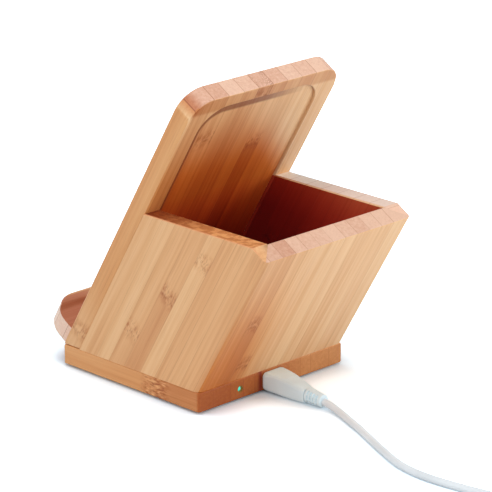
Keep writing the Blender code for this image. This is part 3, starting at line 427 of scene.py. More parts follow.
class Bamboo(Shader):
    """Laminated bamboo strips, from the attributes that lay_strips writes on a board's mesh."""

    def __init__(self, name, knot_size, knot_dashes, knot_contrast):
        super().__init__(name)
        self.place = self.place_on_object()
        self.across, self.along, self.depth = self.parts(self.attribute("grain").outputs["Vector"])
        self.below, self.above, self.width = self.parts(self.attribute("strip").outputs["Vector"])
        self.knot_place, self.end, self.level = self.parts(self.attribute("cut").outputs["Vector"])
        self.seed = self.attribute("seed").outputs["Fac"]
        self.inside = self.attribute("inside").outputs["Fac"]
        self.knot_contrast = knot_contrast
        wave = self.span(self.grain(KNOT_WAVE), *KNOT_WAVE_NOISE, -KNOT_WAVE_REACH, KNOT_WAVE_REACH)
        self.from_knot = self.math("ADD", self.math("SUBTRACT", self.along, self.knot_place), wave)
        self.away = self.math("ABSOLUTE", self.from_knot)
        near = self.span(self.away, KNOT_CORE, KNOT_REACH * knot_size, 1.0, 0.0, smooth=True)
        self.near_knot = self.math("MULTIPLY", near, knot_size, clamp=True)
        self.tone = self.strip_tone()
        self.streaks = self.sway(self.grain(STREAKS, 3.0, 0.6), -STREAK_STRENGTH, STREAK_STRENGTH)
        self.patches = self.span(self.grain(PATCHES), *PATCH_NOISE)
        self.fibres = self.grain(FIBRES, 3.0, 0.6)
        self.dashes = self.grain(knot_dashes)
        dark = self.span(self.dashes, *DASH_DARK, 0.0, knot_contrast)
        self.dark_dashes = self.math("MULTIPLY", dark, self.near_knot)

    def grain(self, rates, detail=2.0, roughness=0.5):
        """Noise drawn out along the strip, with this many changes in a metre across it and along it."""
        fine, coarse = rates
        offset = self.math("MULTIPLY", self.seed, SEED_SHIFT)
        lengthwise = self.math("MULTIPLY_ADD", self.along, coarse, offset)
        vector = self.vector(self.math("MULTIPLY", self.across, fine), lengthwise,
                             self.math("MULTIPLY", self.depth, fine))
        return self.noise(vector, 1.0, detail, roughness)

    def draw(self, rate):
        """A number from 0 to 1 of each strip's own."""
        return self.math("FRACT", self.math("MULTIPLY", self.seed, rate))

    def end_vector(self, across_rate, depth_rate):
        return self.vector(self.math("MULTIPLY", self.across, across_rate),
                           self.math("MULTIPLY", self.depth, depth_rate), self.seed)

    def strip_tone(self):
        """The strip's own tone, which changes at its knot."""
        share = self.span(self.from_knot, -TONE_BLEND, TONE_BLEND)
        lower = self.math("MULTIPLY", self.below, self.math("SUBTRACT", 1.0, share))
        return self.math("ADD", self.math("MULTIPLY", self.above, share), lower)

    def long_grain(self):
        """The colour of a strip's faces and edges."""
        drift = self.sway(self.grain(DRIFT), -DRIFT_STRENGTH, DRIFT_STRENGTH)
        smear = self.math("MULTIPLY", self.math("MULTIPLY", self.near_knot, self.patches), KNOT_SMEAR)
        shade = self.math("ADD", self.tone, drift)
        shade = self.math("ADD", shade, self.math("ADD", self.streaks, smear), clamp=True)
        colour = self.ramp(shade, TONES)
        colour = self.mix(self.span(self.fibres, *FIBRE_DARK), colour, KNOT)
        colour = self.mix(self.span(self.fibres, *FIBRE_PALE), colour, PALE)
        colour = self.mix(self.dark_dashes, colour, KNOT)
        pale = self.span(self.dashes, *DASH_PALE, 0.0, self.knot_contrast - DASH_PALE_LESS)
        colour = self.mix(self.math("MULTIPLY", pale, self.near_knot), colour, PALE)
        return self.scarred(colour)

    def scarred(self, colour):
        """A knot's scar: a bowed pale line across the strip with a dark one below it."""
        off_middle = self.math("SUBTRACT", self.across, self.math("MULTIPLY", self.width, 0.5))
        bowed = self.math("MULTIPLY_ADD", self.squared(off_middle), SCAR_BOW, self.from_knot)
        broken = self.span(self.patches, *SCAR_BROKEN)

        def line(distance, strength):
            solid = self.span(self.math("ABSOLUTE", distance), SCAR_CORE, SCAR_FADE, strength, 0.0)
            return self.math("MULTIPLY", solid, broken)

        dark = line(self.math("ADD", bowed, SCAR_BELOW), SCAR_DARK)
        return self.mix(line(bowed, SCAR_PALE), self.mix(dark, colour, KNOT), PALE)

    def end_grain(self, colours):
        """The colour of a strip's sawn end: a block of its own tone, mottled, with the stalk's pores."""
        block = self.span(self.draw(BLOCK_DRAW), 0.0, 1.0, -BLOCK_VARIATION, BLOCK_VARIATION)
        off_middle = self.math("SUBTRACT", self.tone, BLOCK_MIDDLE)
        tone = self.math("MULTIPLY_ADD", off_middle, BLOCK_CONTRAST, BLOCK_MIDDLE)
        mottle = self.noise(self.end_vector(END_MOTTLE, END_MOTTLE), 1.0, 3.0, 0.6)
        mottle = self.sway(mottle, -MOTTLE_STRENGTH, MOTTLE_STRENGTH)
        shade = self.math("ADD", self.math("ADD", tone, block), mottle, clamp=True)
        colour = self.ramp(shade, ((0.0, colours[0]), (1.0, colours[1])))
        section = self.vector(self.across, self.depth, self.seed)
        inputs = {"Vector": section, "Scale": END_DOTS, "Randomness": PORE_SPREAD}
        dots = self.add("ShaderNodeTexVoronoi", inputs, voronoi_dimensions="3D").outputs["Distance"]
        speckled = self.span(self.away, *PORES_OFF_KNOT)
        pale = self.math("MULTIPLY", self.span(dots, *PORE_PALE), speckled)
        dark = self.math("MULTIPLY", self.span(dots, *PORE_DARK), speckled)
        return self.mix(dark, self.mix(pale, colour, SPECK_PALE), SPECK_DARK)

    def level_grain(self, colour, tints, patch):
        """End grain on a level rim, whose tint changes along +Y, with blotches."""
        share = self.span(self.parts(self.place)[1], LEVEL_FROM, LEVEL_TO, smooth=True)
        colour = self.tinted(colour, self.mix(share, tints[0], tints[1]))
        blotch = self.noise(self.end_vector(*END_BLOTCH), 1.0, 3.0, 0.65)
        blotch = self.span(blotch, *BLOTCH_NOISE, 0.0, patch)
        return self.mix(blotch, colour, self.tinted(colour, BLOTCH))

    def with_painted_shade(self, colour, painted_shades):
        """The colour with painted shade: browner where all of a shade's gradients overlap."""
        for gradients, shade_tint in painted_shades:
            share = 1.0
            for direction, low, high in gradients:
                way = self.dot(self.place, direction)
                share = self.math("MULTIPLY", share, self.span(way, low, high, smooth=True))
            colour = self.mix(share, colour, self.tinted(colour, shade_tint))
        return colour

    def seam(self):
        """The strength of the glue line at a strip's edges."""
        to_seam = self.math("MINIMUM", self.across, self.math("SUBTRACT", self.width, self.across))
        seam = self.span(to_seam, *(SEAM_HALF_WIDTH * share for share in SEAM_FADE), 1.0, 0.0)
        seam = self.math("MULTIPLY", seam, self.span(self.draw(SEAM_DRAW), 0.0, 1.0, *SEAM_STRENGTH))
        return self.math("MULTIPLY", seam, self.span(self.end, 0.0, 1.0, 1.0, SEAM_ON_END))

    def panel_edge_shadow(self):
        """A painted shadow line on the cover panel, along the pocket's top and near side."""
        x = self.parts(self.place)[0]
        high = self.dot(self.place, ALONG)
        past_side = self.math("MAXIMUM", self.math("SUBTRACT", x, PANEL_HALF - PANEL_CORNER), 0.0)
        corner_top = LEAN_ORIGIN.dot(ALONG) + PANEL_TOP - PANEL_CORNER
        past_top = self.math("MAXIMUM", self.math("SUBTRACT", high, corner_top), 0.0)
        squares = self.math("ADD", self.squared(past_side), self.squared(past_top))
        to_edge = self.math("SUBTRACT", PANEL_CORNER, self.math("SQRT", squares))
        line = self.span(to_edge, EDGE_SOLID, EDGE_FADE, EDGE_STRENGTH, 0.0, smooth=True)
        return self.math("MULTIPLY", line, self.span(x, -PANEL_HALF + EDGE_END, 0.0, smooth=True))

    def depth_inside(self, reach, ends):
        """How deep a place lies in the pen box's shade, which starts above the rim and grows downwards."""
        start, height = reach
        _, y, z = self.parts(self.place)
        top = RIM_Z + start
        deep = self.math("MULTIPLY", self.inside, self.span(z, top, top - height))
        return self.math("MULTIPLY", deep, self.span(y, INSIDE_FROM, INSIDE_TO, *ends))


def bamboo(name, tint=WHITE, grain_tint=WHITE, end_tint=WHITE, end_colours=(END_PALE, END_BROWN),
           level_tints=(WHITE, WHITE), level_patch=0.0, painted_shades=(), grain_painted_shades=(), edge_shadow=False,
           inside_reach=INSIDE_REACH, inside_ends=(1.0, 1.0), knot_size=1.0, knot_dashes=KNOT_DASHES,
           knot_contrast=KNOT_CONTRAST):
    """A board's bamboo, with tints for all of it, its long grain, ends or rims, and painted shade for all
    of it or its long grain.
    """
    wood = Bamboo(name, knot_size, knot_dashes, knot_contrast)
    colour = wood.tinted(wood.with_painted_shade(wood.long_grain(), grain_painted_shades), grain_tint)
    end_colour = wood.end_grain(end_colours)
    level_colour = wood.level_grain(end_colour, level_tints, level_patch)
    end_colour = wood.mix(wood.level, wood.tinted(end_colour, end_tint), level_colour)
    seam = wood.seam()
    colour = wood.mix(seam, wood.mix(wood.end, colour, end_colour), KNOT)
    colour = wood.with_painted_shade(colour, painted_shades)
    # painted shadow line on the cover panel, along the pocket's top and near side
    if edge_shadow:
        colour = wood.mix(wood.panel_edge_shadow(), colour, EDGE_SHADOW)
    deep = wood.depth_inside(inside_reach, inside_ends)
    shaded = wood.vector(*(wood.math("POWER", share, deep) for share in INSIDE))
    colour = wood.tinted(wood.tinted(colour, shaded), tint)
    hollow = wood.math("ADD", seam, wood.dark_dashes)
    height = wood.math("SUBTRACT", wood.math("MULTIPLY", wood.fibres, FIBRE_HEIGHT), hollow)
    wood.bump(height, GRAIN_DEPTH, GRAIN_STRENGTH)
    roughness = wood.span(wood.streaks, -STREAK_STRENGTH, STREAK_STRENGTH, *ROUGHNESS)
    roughness = wood.math("MULTIPLY_ADD", deep, INSIDE_ROUGHNESS, roughness)
    wood.set(Base_Color=colour, Roughness=roughness, Coat_Weight=0.03, Coat_Roughness=0.35,
             Specular_IOR_Level=0.3)
    return wood.material


# Plastics and metals
TEXTURE_RATE = 5200.0
TEXTURE_DEPTH = 0.00002
TEXTURE_STRENGTH = 0.5
TEXTURE_ROUGHNESS = 0.05          # how much the roughness sways
CLOUD_RATE = 90.0
CLOUD_NOISE = (0.35, 0.65)
CLOUD_SHADE = 0.93
SCRATCH_RATES = (3600.0, 900.0, 3600.0)
SCRATCH_DEPTH = 0.00001
SCRATCH_STRENGTH = 0.4
SCRATCH_ROUGHNESS = (-0.06, 0.08)
SCRATCH_SHADE = 0.85


def plastic(name, colour, roughness, texture_rate=TEXTURE_RATE, depth=TEXTURE_DEPTH, glow=0.0,
            glow_colour=WHITE):
    """Moulded plastic with a fine spark-eroded grain."""
    look = Shader(name)
    place = look.place_on_object()
    grain = look.noise(place, texture_rate, 3.0)
    cloud = look.noise(place, CLOUD_RATE, 2.0)
    darker = tuple(CLOUD_SHADE * value for value in colour)
    look.bump(grain, depth, TEXTURE_STRENGTH)
    look.set(Base_Color=look.mix(look.span(cloud, *CLOUD_NOISE), darker, colour),
             Roughness=look.sway(grain, roughness - TEXTURE_ROUGHNESS, roughness + TEXTURE_ROUGHNESS))
    if glow:
        look.set(Emission_Color=glow_colour, Emission_Strength=glow)
    return look.material


def metal(name, colour, roughness):
    """Metal sheet or wire with fine scratches along Y."""
    look = Shader(name)
    place = look.parts(look.place_on_object())
    drawn_out = look.vector(*(look.math("MULTIPLY", way, rate) for way, rate in zip(place, SCRATCH_RATES)))
    lines = look.noise(drawn_out, 1.0, 3.0)
    darker = tuple(SCRATCH_SHADE * value for value in colour)
    look.bump(lines, SCRATCH_DEPTH, SCRATCH_STRENGTH)
    look.set(Base_Color=look.mix(lines, darker, colour), Metallic=1.0,
             Roughness=look.sway(lines, *(roughness + change for change in SCRATCH_ROUGHNESS)))
    return look.material


# Strips of each board: where it starts across the board, its tone below its knot and above it, from pale 0
# to brown 1, and its knot's place along it
NONE = 9.0
LAST_STRIP = 0.0085               # width of a board's last strip
PLATE_STRIPS = (
    (-0.0440, 0.25, 0.25, NONE), (-0.0358, 0.10, 0.15, 0.074), (-0.0272, 0.30, 0.25, NONE),
    (-0.0184, 0.20, 0.20, 0.118), (-0.0098, 0.40, 0.40, NONE), (-0.0012, 0.55, 0.50, 0.1485),
    (0.0074, 0.30, 0.30, NONE), (0.0160, 0.20, 0.20, 0.052), (0.0248, 0.45, 0.40, NONE),
    (0.0334, 0.55, 0.80, NONE), (0.0420, 0.28, 0.22, 0.0140),
)
PANEL_STRIPS = (
    (-0.0360, 0.20, 0.20, NONE), (-0.0280, 0.25, 0.20, NONE), (-0.0205, 0.35, 0.30, NONE),
    (-0.0125, 0.85, 0.40, 0.116), (-0.0040, 0.50, 0.35, NONE), (0.0042, 0.70, 0.50, NONE),
    (0.0130, 0.55, 0.45, NONE), (0.0212, 0.45, 0.55, 0.127), (0.0310, 0.50, 0.50, NONE),
)
SIDE_STRIPS = (
    (0.0080, 0.20, 0.20, NONE), (0.0187, 0.16, 0.20, NONE), (0.0255, 0.40, 0.34, 0.0385),
    (0.0340, 0.60, 0.32, 0.0690), (0.0427, 0.08, 0.20, 0.0950), (0.0505, 0.36, 0.32, NONE),
    (0.0570, 0.28, 0.26, NONE), (0.0635, 0.36, 0.34, NONE), (0.0710, 0.42, 0.40, NONE),
)
FAR_SIDE_STRIPS = (
    (0.0080, 0.30, 0.15, NONE), (0.0165, 0.20, 0.00, 0.0620), (0.0250, 0.45, 0.20, 0.0300),
    (0.0330, 0.10, 0.05, NONE), (0.0412, 0.30, 0.15, 0.0440), (0.0495, 0.30, 0.10, 0.0680),
    (0.0575, 0.15, 0.10, NONE), (0.0660, 0.25, 0.15, NONE),
)
REAR_STRIPS = (
    (-0.0440, 0.15, 0.15, NONE), (-0.0332, 0.20, 0.18, NONE), (-0.0258, 0.15, 0.15, NONE),
    (-0.0185, 0.25, 0.22, NONE), (-0.0110, 0.15, 0.15, NONE), (-0.0035, 0.10, 0.12, NONE),
    (0.0040, 0.20, 0.18, NONE), (0.0115, 0.24, 0.20, NONE), (0.0190, 0.50, 0.32, 0.0540),
    (0.0260, 0.75, 0.55, 0.0800), (0.0335, 0.55, 0.40, NONE), (0.0410, 0.45, 0.35, NONE),
)
BASE_STRIPS = (
    (-0.0440, 0.45, 0.50, NONE), (-0.0355, 0.60, 0.50, -0.030), (-0.0240, 0.40, 0.40, NONE),
    (-0.0175, 0.55, 0.55, NONE), (-0.0105, 0.35, 0.60, 0.010), (-0.0035, 0.50, 0.50, NONE),
    (0.0035, 0.60, 0.60, NONE), (0.0105, 0.40, 0.40, NONE), (0.0175, 0.45, 0.45, NONE),
    (0.0250, 0.35, 0.60, -0.020), (0.0355, 0.30, 0.75, 0.0040),
)
LEDGE_STRIPS = (
    (-0.0180, 0.30, 0.30, NONE), (-0.0105, 0.50, 0.40, 0.012), (-0.0025, 0.35, 0.35, NONE),
)
BOARD_LAYOUT = {
    # node: strips, axis they are laid across and axis they run along, leaning or not
    "front_plate": (PLATE_STRIPS, 0, 2, True),
    "coil_cover_panel": (PANEL_STRIPS, 0, 2, True),
    "side_wall_right": (SIDE_STRIPS, 1, 2, True),
    "side_wall_left": (FAR_SIDE_STRIPS, 1, 2, True),
    "rear_wall": (REAR_STRIPS, 0, 2, True),
    "phone_ledge": (LEDGE_STRIPS, 1, 0, True),
    "base_board": (BASE_STRIPS, 0, 1, False),
}

# Painted shade, where a board is browner: gradients along a direction, from a place to another, and a tint
TO_NEAR = (1.0, 0.0, 0.0)
TO_FAR = (-1.0, 0.0, 0.0)
REARWARD = (0.0, 1.0, 0.0)
DOWN = (0.0, 0.0, -1.0)
DOWN_AND_NEAR = (0.93, 0.0, -1.0)
PLATE_FRONT = LEAN_ORIGIN.dot(DEPTH)
PLATE_FOOT = LEAN_ORIGIN.dot(ALONG)
TOP_BAND = PLATE_FOOT + 0.1440
ON_REAR_FACE = (DEPTH, PLATE_FRONT + BOARD - 0.0002, PLATE_FRONT + BOARD)
BEHIND_LEDGE_FRONT = (DEPTH, PLATE_FRONT - LEDGE_REACH + 0.0004, PLATE_FRONT - LEDGE_REACH + 0.0016)
ON_BASE_EDGE = (REARWARD, 0.0285, 0.0300)
PLATE_PAINTED_SHADE = (
    # painted shade on the near border, the band above the panel, the near edge and the near upper corner
    (((TO_NEAR, 0.000, 0.038), (DOWN, -0.140, -0.090), ON_REAR_FACE), rgb(238, 200, 156)),
    (((ALONG, TOP_BAND, TOP_BAND + 0.002), ON_REAR_FACE), rgb(230, 208, 191)),
    (((TO_NEAR, 0.0436, 0.0439), (ALONG, PLATE_FOOT - 0.012, PLATE_FOOT + 0.048)), rgb(238, 214, 188)),
    (((TO_NEAR, 0.0370, 0.0425), (ALONG, TOP_BAND - 0.001, TOP_BAND + 0.005)), rgb(222, 176, 140)),
)
PANEL_PAINTED_SHADE = (
    # painted shade on the lower near part, and on the lower part but for its far side
    (((DOWN_AND_NEAR, -0.1375, -0.1125), (DOWN, -0.134, -0.094)), rgb(236, 166, 96)),
    (((TO_NEAR, -0.044, -0.010), (DOWN, -0.108, -0.082)), rgb(250, 222, 196)),
)
REAR_PAINTED_SHADE = (
    # painted shade on the lower near corner
    (((TO_NEAR, 0.000, 0.034), (DOWN, -0.075, -0.015)), rgb(236, 190, 128)),
)
LEDGE_PAINTED_SHADE = (
    # painted shade on the near half, behind the lip's front face
    (((TO_NEAR, 0.002, 0.030), BEHIND_LEDGE_FRONT), rgb(206, 164, 164)),
)
BASE_PAINTED_SHADE = (
    # painted shade on the rear edge but for its far part, and a painted shadow line beside the plug
    (((TO_NEAR, -0.030, 0.012), ON_BASE_EDGE), rgb(226, 190, 146)),
    (((TO_NEAR, 0.0055, 0.0068), (TO_FAR, -0.0095, -0.0070), ON_BASE_EDGE), rgb(190, 112, 84)),
)

BOARD_LOOKS = {
    # node: what bamboo is told
    "front_plate": {
        "name": "bamboo plate", "tint": rgb(255, 254, 253), "end_tint": rgb(246, 246, 250),
        "painted_shades": PLATE_PAINTED_SHADE,
    },
    "coil_cover_panel": {
        "name": "bamboo panel", "tint": rgb(255, 252, 246), "painted_shades": PANEL_PAINTED_SHADE, "edge_shadow": True,
        "inside_reach": (0.003, 0.062),
    },
    "side_wall_right": {
        "name": "bamboo near wall", "tint": rgb(250, 240, 230), "end_tint": rgb(250, 225, 200),
        "level_tints": (rgb(176, 114, 69), rgb(247, 219, 171)), "level_patch": 0.65,
    },
    "side_wall_left": {
        "name": "bamboo far wall", "end_tint": rgb(232, 196, 178),
        "end_colours": (rgb(255, 252, 243), rgb(250, 238, 225)),
        "level_tints": (WHITE, rgb(229, 207, 199)), "inside_ends": (1.40, 0.84),
    },
    "rear_wall": {
        "name": "bamboo rear wall", "tint": rgb(252, 246, 240), "end_tint": rgb(240, 243, 250),
        "painted_shades": REAR_PAINTED_SHADE,
    },
    "phone_ledge": {
        "name": "bamboo ledge", "grain_tint": rgb(255, 251, 250), "grain_painted_shades": LEDGE_PAINTED_SHADE,
        "end_colours": (rgb(250, 222, 202), rgb(232, 188, 166)),
    },
    "base_board": {
        "name": "bamboo base", "tint": rgb(253, 231, 205), "end_tint": rgb(218, 200, 160),
        "painted_shades": BASE_PAINTED_SHADE,
        "knot_size": 1.6, "knot_dashes": (1050.0, 280.0), "knot_contrast": 0.95,
    },
}

# Shaping of the boards
BOX_MARGIN = 0.0005
TOUCH = 0.00002
SEAM_REACH = 0.0004
GLUE_LINE = 0.00001
WELD = 1e-6
CUT_MARGIN = 1e-7
FLAT_ANGLE = math.radians(0.2)
SHARP_ANGLE = math.radians(38)
BOX_CORNER = 0.0024
CORNER_CUTS = 5
POCKET_ROUND = 0.0005
POCKET_REACH = 0.0360
POCKET_SEGMENTS = 3
SEED_STEP = 3.7                   # from one strip's seed to the next one's
SEED_TONE = 10
MOVE_CUTOFF = 0.05                # share of the strongest direction below which faces don't move a vertex

# How squarely a face looks along a direction
END_FACE = 0.6
SQUARE_FACE = 0.95
LEVEL_FACE = 0.98
BASE_FACE = 0.99
SIDE_FACE = 0.9
CROSSWISE_FACE = 0.2
POCKET_WALL_FACE = 0.1


def in_lean(point):
    """Across, depth behind the plate's front face and height along the lean, of a point."""
    away = point - LEAN_ORIGIN
    return Vector((away.x, away.dot(DEPTH), away.dot(ALONG)))


def cut_across(bm, place, normal):
    geometry = bm.verts[:] + bm.edges[:] + bm.faces[:]
    bmesh.ops.bisect_plane(bm, geom=geometry, plane_co=place, plane_no=normal, dist=CUT_MARGIN)


def is_inside(face, on_panel):
    """Whether a face lines the pen box, or is one of the panel's, whose shade reaches above the rim."""
    middle = face.calc_center_median()
    x, depth, _ = in_lean(middle + face.normal * BOX_MARGIN)
    half = HALF - BOARD if abs(face.normal.x) > SIDE_FACE else HALF - BOARD + 2 * POCKET_ROUND
    in_box = abs(x) < half and BOARD - PANEL_RECESS - TOUCH < depth < REAR_OUTER - BOARD
    lining = abs(face.normal.dot(ALONG)) < CROSSWISE_FACE or face.normal.z > BASE_FACE
    above_base = middle.z > LEAN_ORIGIN.z - BOX_MARGIN
    return in_box and lining and above_base and (middle.z < RIM_Z or on_panel)


def lay_strips(bm, node):
    """Cuts a board's faces along its glue lines and writes what the bamboo shader reads."""
    strips, across_axis, along_axis, leaning = BOARD_LAYOUT[node]
    right, rearward, up = Vector((1, 0, 0)), Vector((0, 1, 0)), Vector((0, 0, 1))
    axes = (right, DEPTH, ALONG) if leaning else (right, rearward, up)
    origin = LEAN_ORIGIN if leaning else Vector((0.0, 0.0, 0.0))
    normal, lengthwise, inward = axes[across_axis], axes[along_axis], axes[3 - across_axis - along_axis]
    for start, *_ in strips[1:]:
        cut_across(bm, origin + normal * start, normal)
    grain = bm.loops.layers.float_vector.new("grain")
    strip = bm.faces.layers.float_vector.new("strip")
    cut = bm.faces.layers.float_vector.new("cut")
    seed = bm.faces.layers.float.new("seed")
    inside = bm.faces.layers.float.new("inside")
    edges = [start for start, *_ in strips] + [strips[-1][0] + LAST_STRIP]
    for face in bm.faces:
        middle = (face.calc_center_median() - origin).dot(normal)
        index = max(i for i, start in enumerate(edges[:-1]) if start <= middle or i == 0)
        start, below, above, knot = strips[index]
        square = abs(face.normal.dot(lengthwise))
        level = leaning and face.normal.z > LEVEL_FACE
        # the near wall's mitred facet shows long grain, and the other sawn faces end grain
        end = square > END_FACE and (level or node != "side_wall_right" or square < SQUARE_FACE)
        face[strip] = Vector((below, above, edges[index + 1] - start))
        face[cut] = Vector((knot, float(end), float(level)))
        face[seed] = SEED_STEP * index + below * SEED_TONE
        face[inside] = float(is_inside(face, node == "coil_cover_panel"))
        for loop in face.loops:
            away = loop.vert.co - origin
            loop[grain] = Vector((away.dot(normal) - start, away.dot(lengthwise), away.dot(inward)))


def close_seams(bm, node, trees):
    """Grows the faces that are glued to another board until the seam is as thin as a glue line."""
    panel_pair = {"front_plate", "coil_cover_panel"}
    shifts = {}
    for face in bm.faces:
        start = face.calc_center_median() + face.normal * TOUCH
        for other, tree in trees.items():
            if other == node:
                continue
            hit, _, _, distance = tree.ray_cast(start, face.normal, SEAM_REACH)
            if hit is not None:
                both_grow = ("wall" in node and "wall" in other) or {node, other} == panel_pair
                shifts[face.index] = (distance - GLUE_LINE) * (0.5 if both_grow else 1.0)
    moves = {}
    for vert in bm.verts:
        rows, aims = [], []
        for face in vert.link_faces:
            weight = math.sqrt(face.calc_area())
            rows.append(face.normal * weight)
            aims.append(shifts.get(face.index, 0.0) * weight)
        if any(aims):
            moves[vert] = Vector(np.linalg.lstsq(np.array(rows), np.array(aims), rcond=MOVE_CUTOFF)[0])
    for vert, move in moves.items():
        vert.co += move


def lower_rim(bm):
    """Brings the rear wall's rim down to the side walls' facets that it meets."""
    top = max(in_lean(vert.co).z for vert in nodes["side_wall_right"].data.vertices)
    for vert in bm.verts:
        vert.co -= ALONG * max(0.0, in_lean(vert.co).z - top)


def round_corner(bm):
    """Rounds the box's outer corner where the rear wall and a side wall meet in a mitre."""
    for side in (-1, 1):
        corner = LEAN_ORIGIN + Vector((side * HALF, 0, 0)) + DEPTH * REAR_OUTER
        inward = (Vector((-side, 0, 0)), -DEPTH)
        for direction in inward:
            for k in range(1, CORNER_CUTS + 1):
                cut_across(bm, corner + direction * (BOX_CORNER * k / CORNER_CUTS), direction)
        for vert in bm.verts:
            outward = [1 - (vert.co - corner).dot(direction) / BOX_CORNER for direction in inward]
            reach = math.hypot(*outward)
            if min(outward) > 0 and reach > 1:
                pull = BOX_CORNER * (1 - 1 / reach)
                vert.co += inward[0] * (outward[0] * pull) + inward[1] * (outward[1] * pull)


def round_pocket(bm):
    """Rounds the edge of the pocket that the cover panel lies in."""
    edges = []
    for edge in bm.edges:
        faces = edge.link_faces
        if len(faces) != 2:
            continue
        facing = sorted(abs(face.normal.dot(DEPTH)) for face in faces)
        on_rear = all(abs(in_lean(vert.co).y - BOARD) < TOUCH for vert in edge.verts)
        by_pocket = all(abs(vert.co.x) < POCKET_REACH for vert in edge.verts)
        if on_rear and by_pocket and facing[0] < POCKET_WALL_FACE and facing[1] > SIDE_FACE:
            edges.append(edge)
    bmesh.ops.bevel(bm, geom=edges, offset=POCKET_ROUND, segments=POCKET_SEGMENTS, profile=0.5,
                    affect="EDGES")
    bm.normal_update()


def cut_plate(bm):
    """Cuts the plate's faces where the pen box's shade on them ends."""
    for side in (-1, 1):
        cut_across(bm, Vector((side * (HALF - BOARD), 0.0, 0.0)), Vector((1.0, 0.0, 0.0)))
    cut_across(bm, Vector((0.0, 0.0, RIM_Z)), Vector((0.0, 0.0, 1.0)))
    cut_across(bm, LEAN_ORIGIN + DEPTH * (BOARD - PANEL_RECESS), DEPTH)


def dress_board(node, trees):
    bm = bmesh.new()
    bm.from_mesh(nodes[node].data)
    bmesh.ops.remove_doubles(bm, verts=bm.verts[:], dist=WELD)
    bmesh.ops.dissolve_limit(bm, angle_limit=FLAT_ANGLE, verts=bm.verts[:], edges=bm.edges[:])
    bm.normal_update()
    bm.faces.index_update()
    close_seams(bm, node, trees)
    if node == "rear_wall":
        lower_rim(bm)
    if "wall" in node:
        round_corner(bm)
    if node == "front_plate":
        round_pocket(bm)
        cut_plate(bm)
    lay_strips(bm, node)
    name = node + "_bamboo"
    mesh = bpy.data.meshes.new(name)
    bm.to_mesh(mesh)
    bm.free()
    mesh.materials.append(bamboo(**BOARD_LOOKS[node]))
    mesh.shade_smooth()
    mesh.set_sharp_from_angle(angle=SHARP_ANGLE)
    board = bpy.data.objects.new(name, mesh)
    bpy.context.scene.collection.objects.link(board)
    normals = board.modifiers.new("flat faces", "WEIGHTED_NORMAL")
    normals.keep_sharp = True
    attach(board, "stand")
    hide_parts(node)


def dress_bamboo():
    trees = {}
    for node in BOARD_LAYOUT:
        bm = bmesh.new()
        bm.from_mesh(nodes[node].data)
        trees[node] = BVHTree.FromBMesh(bm)
        bm.free()
    for node in BOARD_LAYOUT:
        dress_board(node, trees)


def dress_nodes():
    """Materials for the CAD nodes that keep their own shape, for the cable and for its strain relief."""
    black = plastic("black plastic", rgb(32, 32, 34), 0.5)
    rubber = plastic("foot rubber", rgb(38, 37, 36), 0.8, 3000.0, 0.00004)
    white = plastic("cable plastic", rgb(227, 234, 239), 0.42)
    body = plastic("plug plastic", rgb(228, 246, 253), 0.38)
    zinc = metal("zinc plated screw", rgb(188, 188, 190), 0.3)
    nickel = metal("nickel plated sheet", rgb(206, 205, 200), 0.22)
    copper = metal("copper strand", rgb(200, 120, 78), 0.32)
    ferrite = plastic("ferrite", rgb(58, 57, 58), 0.6)
    enamel = plastic("enamelled lead", rgb(150, 80, 50), 0.4)
    green = plastic("solder mask", rgb(28, 92, 60), 0.35)
    chip = plastic("chip epoxy", rgb(30, 30, 32), 0.45)
    ceramic = plastic("capacitor ceramic", rgb(168, 140, 104), 0.5)
    lens = plastic("led lens", rgb(90, 225, 200), 0.15, glow=0.35, glow_colour=rgb(70, 235, 205))
    looks = {
        "base_cover": black, "usb_socket_insulator": black, "type_a_plug_tongue": black,
        "usb_socket_shell": nickel, "usb_plug_tip": nickel, "type_a_plug_shell": nickel,
        "charging_coil": copper, "ferrite_sheet": ferrite, "input_choke": ferrite,
        "coil_lead_inner": enamel, "coil_lead_outer": enamel, "circuit_board": green,
        "controller_chip": chip, "driver_chip": chip, "status_led": lens,
        "usb_plug_body": body, "type_a_strain_relief": white, "type_a_plug_body": white,
    }
    for node, obj in nodes.items():
        look = looks.get(node)
        if node.startswith("foot_"):
            look = rubber
        if "screw" in node:
            look = zinc
        if node.startswith("tuning_capacitor"):
            look = ceramic
        if look and obj.material_slots:
            obj.material_slots[0].material = look
    cable.data.materials.append(white)
    relief.data.materials.append(body)


# Strain relief of the small plug, with rows of short slots
RELIEF_START = 0.0071
RELIEF_END = 0.0057
RELIEF_CLEARANCE = 0.0001         # above the desk
RELIEF_CHAMFER = 0.0003
RELIEF_RINGS = 84
RELIEF_SIDES = 96
RELIEF_SHARP = math.radians(50)
SLOT_ROWS = 4
SLOT_DEPTH = 0.00085
SLOT_ZONE = (0.10, 0.86)          # share of the relief's length that has slots
SLOT_SHARE = 0.46                 # of a row's pitch
SLOT_SHARE_BLEND = 0.12
SLOT_MIDDLES = (-0.66, 0.0, 0.66)  # angles from the relief's side
SLOT_HALF = 0.24
SLOT_HALF_BLEND = 0.08


def pulse(value, half, blend):
    """1 within half of 0, falling to 0 over blend."""
    way = max(0.0, min(1.0, (half + blend - abs(value)) / blend))
    return way * way * (3 - 2 * way)


def relief_radius(share, length):
    """The relief's radius: a taper with rounded ends."""
    radius = (RELIEF_START + (RELIEF_END - RELIEF_START) * share) / 2
    from_end = min(share, 1 - share) * length
    if from_end < RELIEF_CHAMFER:
        radius -= RELIEF_CHAMFER - math.sqrt(RELIEF_CHAMFER ** 2 - (RELIEF_CHAMFER - from_end) ** 2)
    return radius


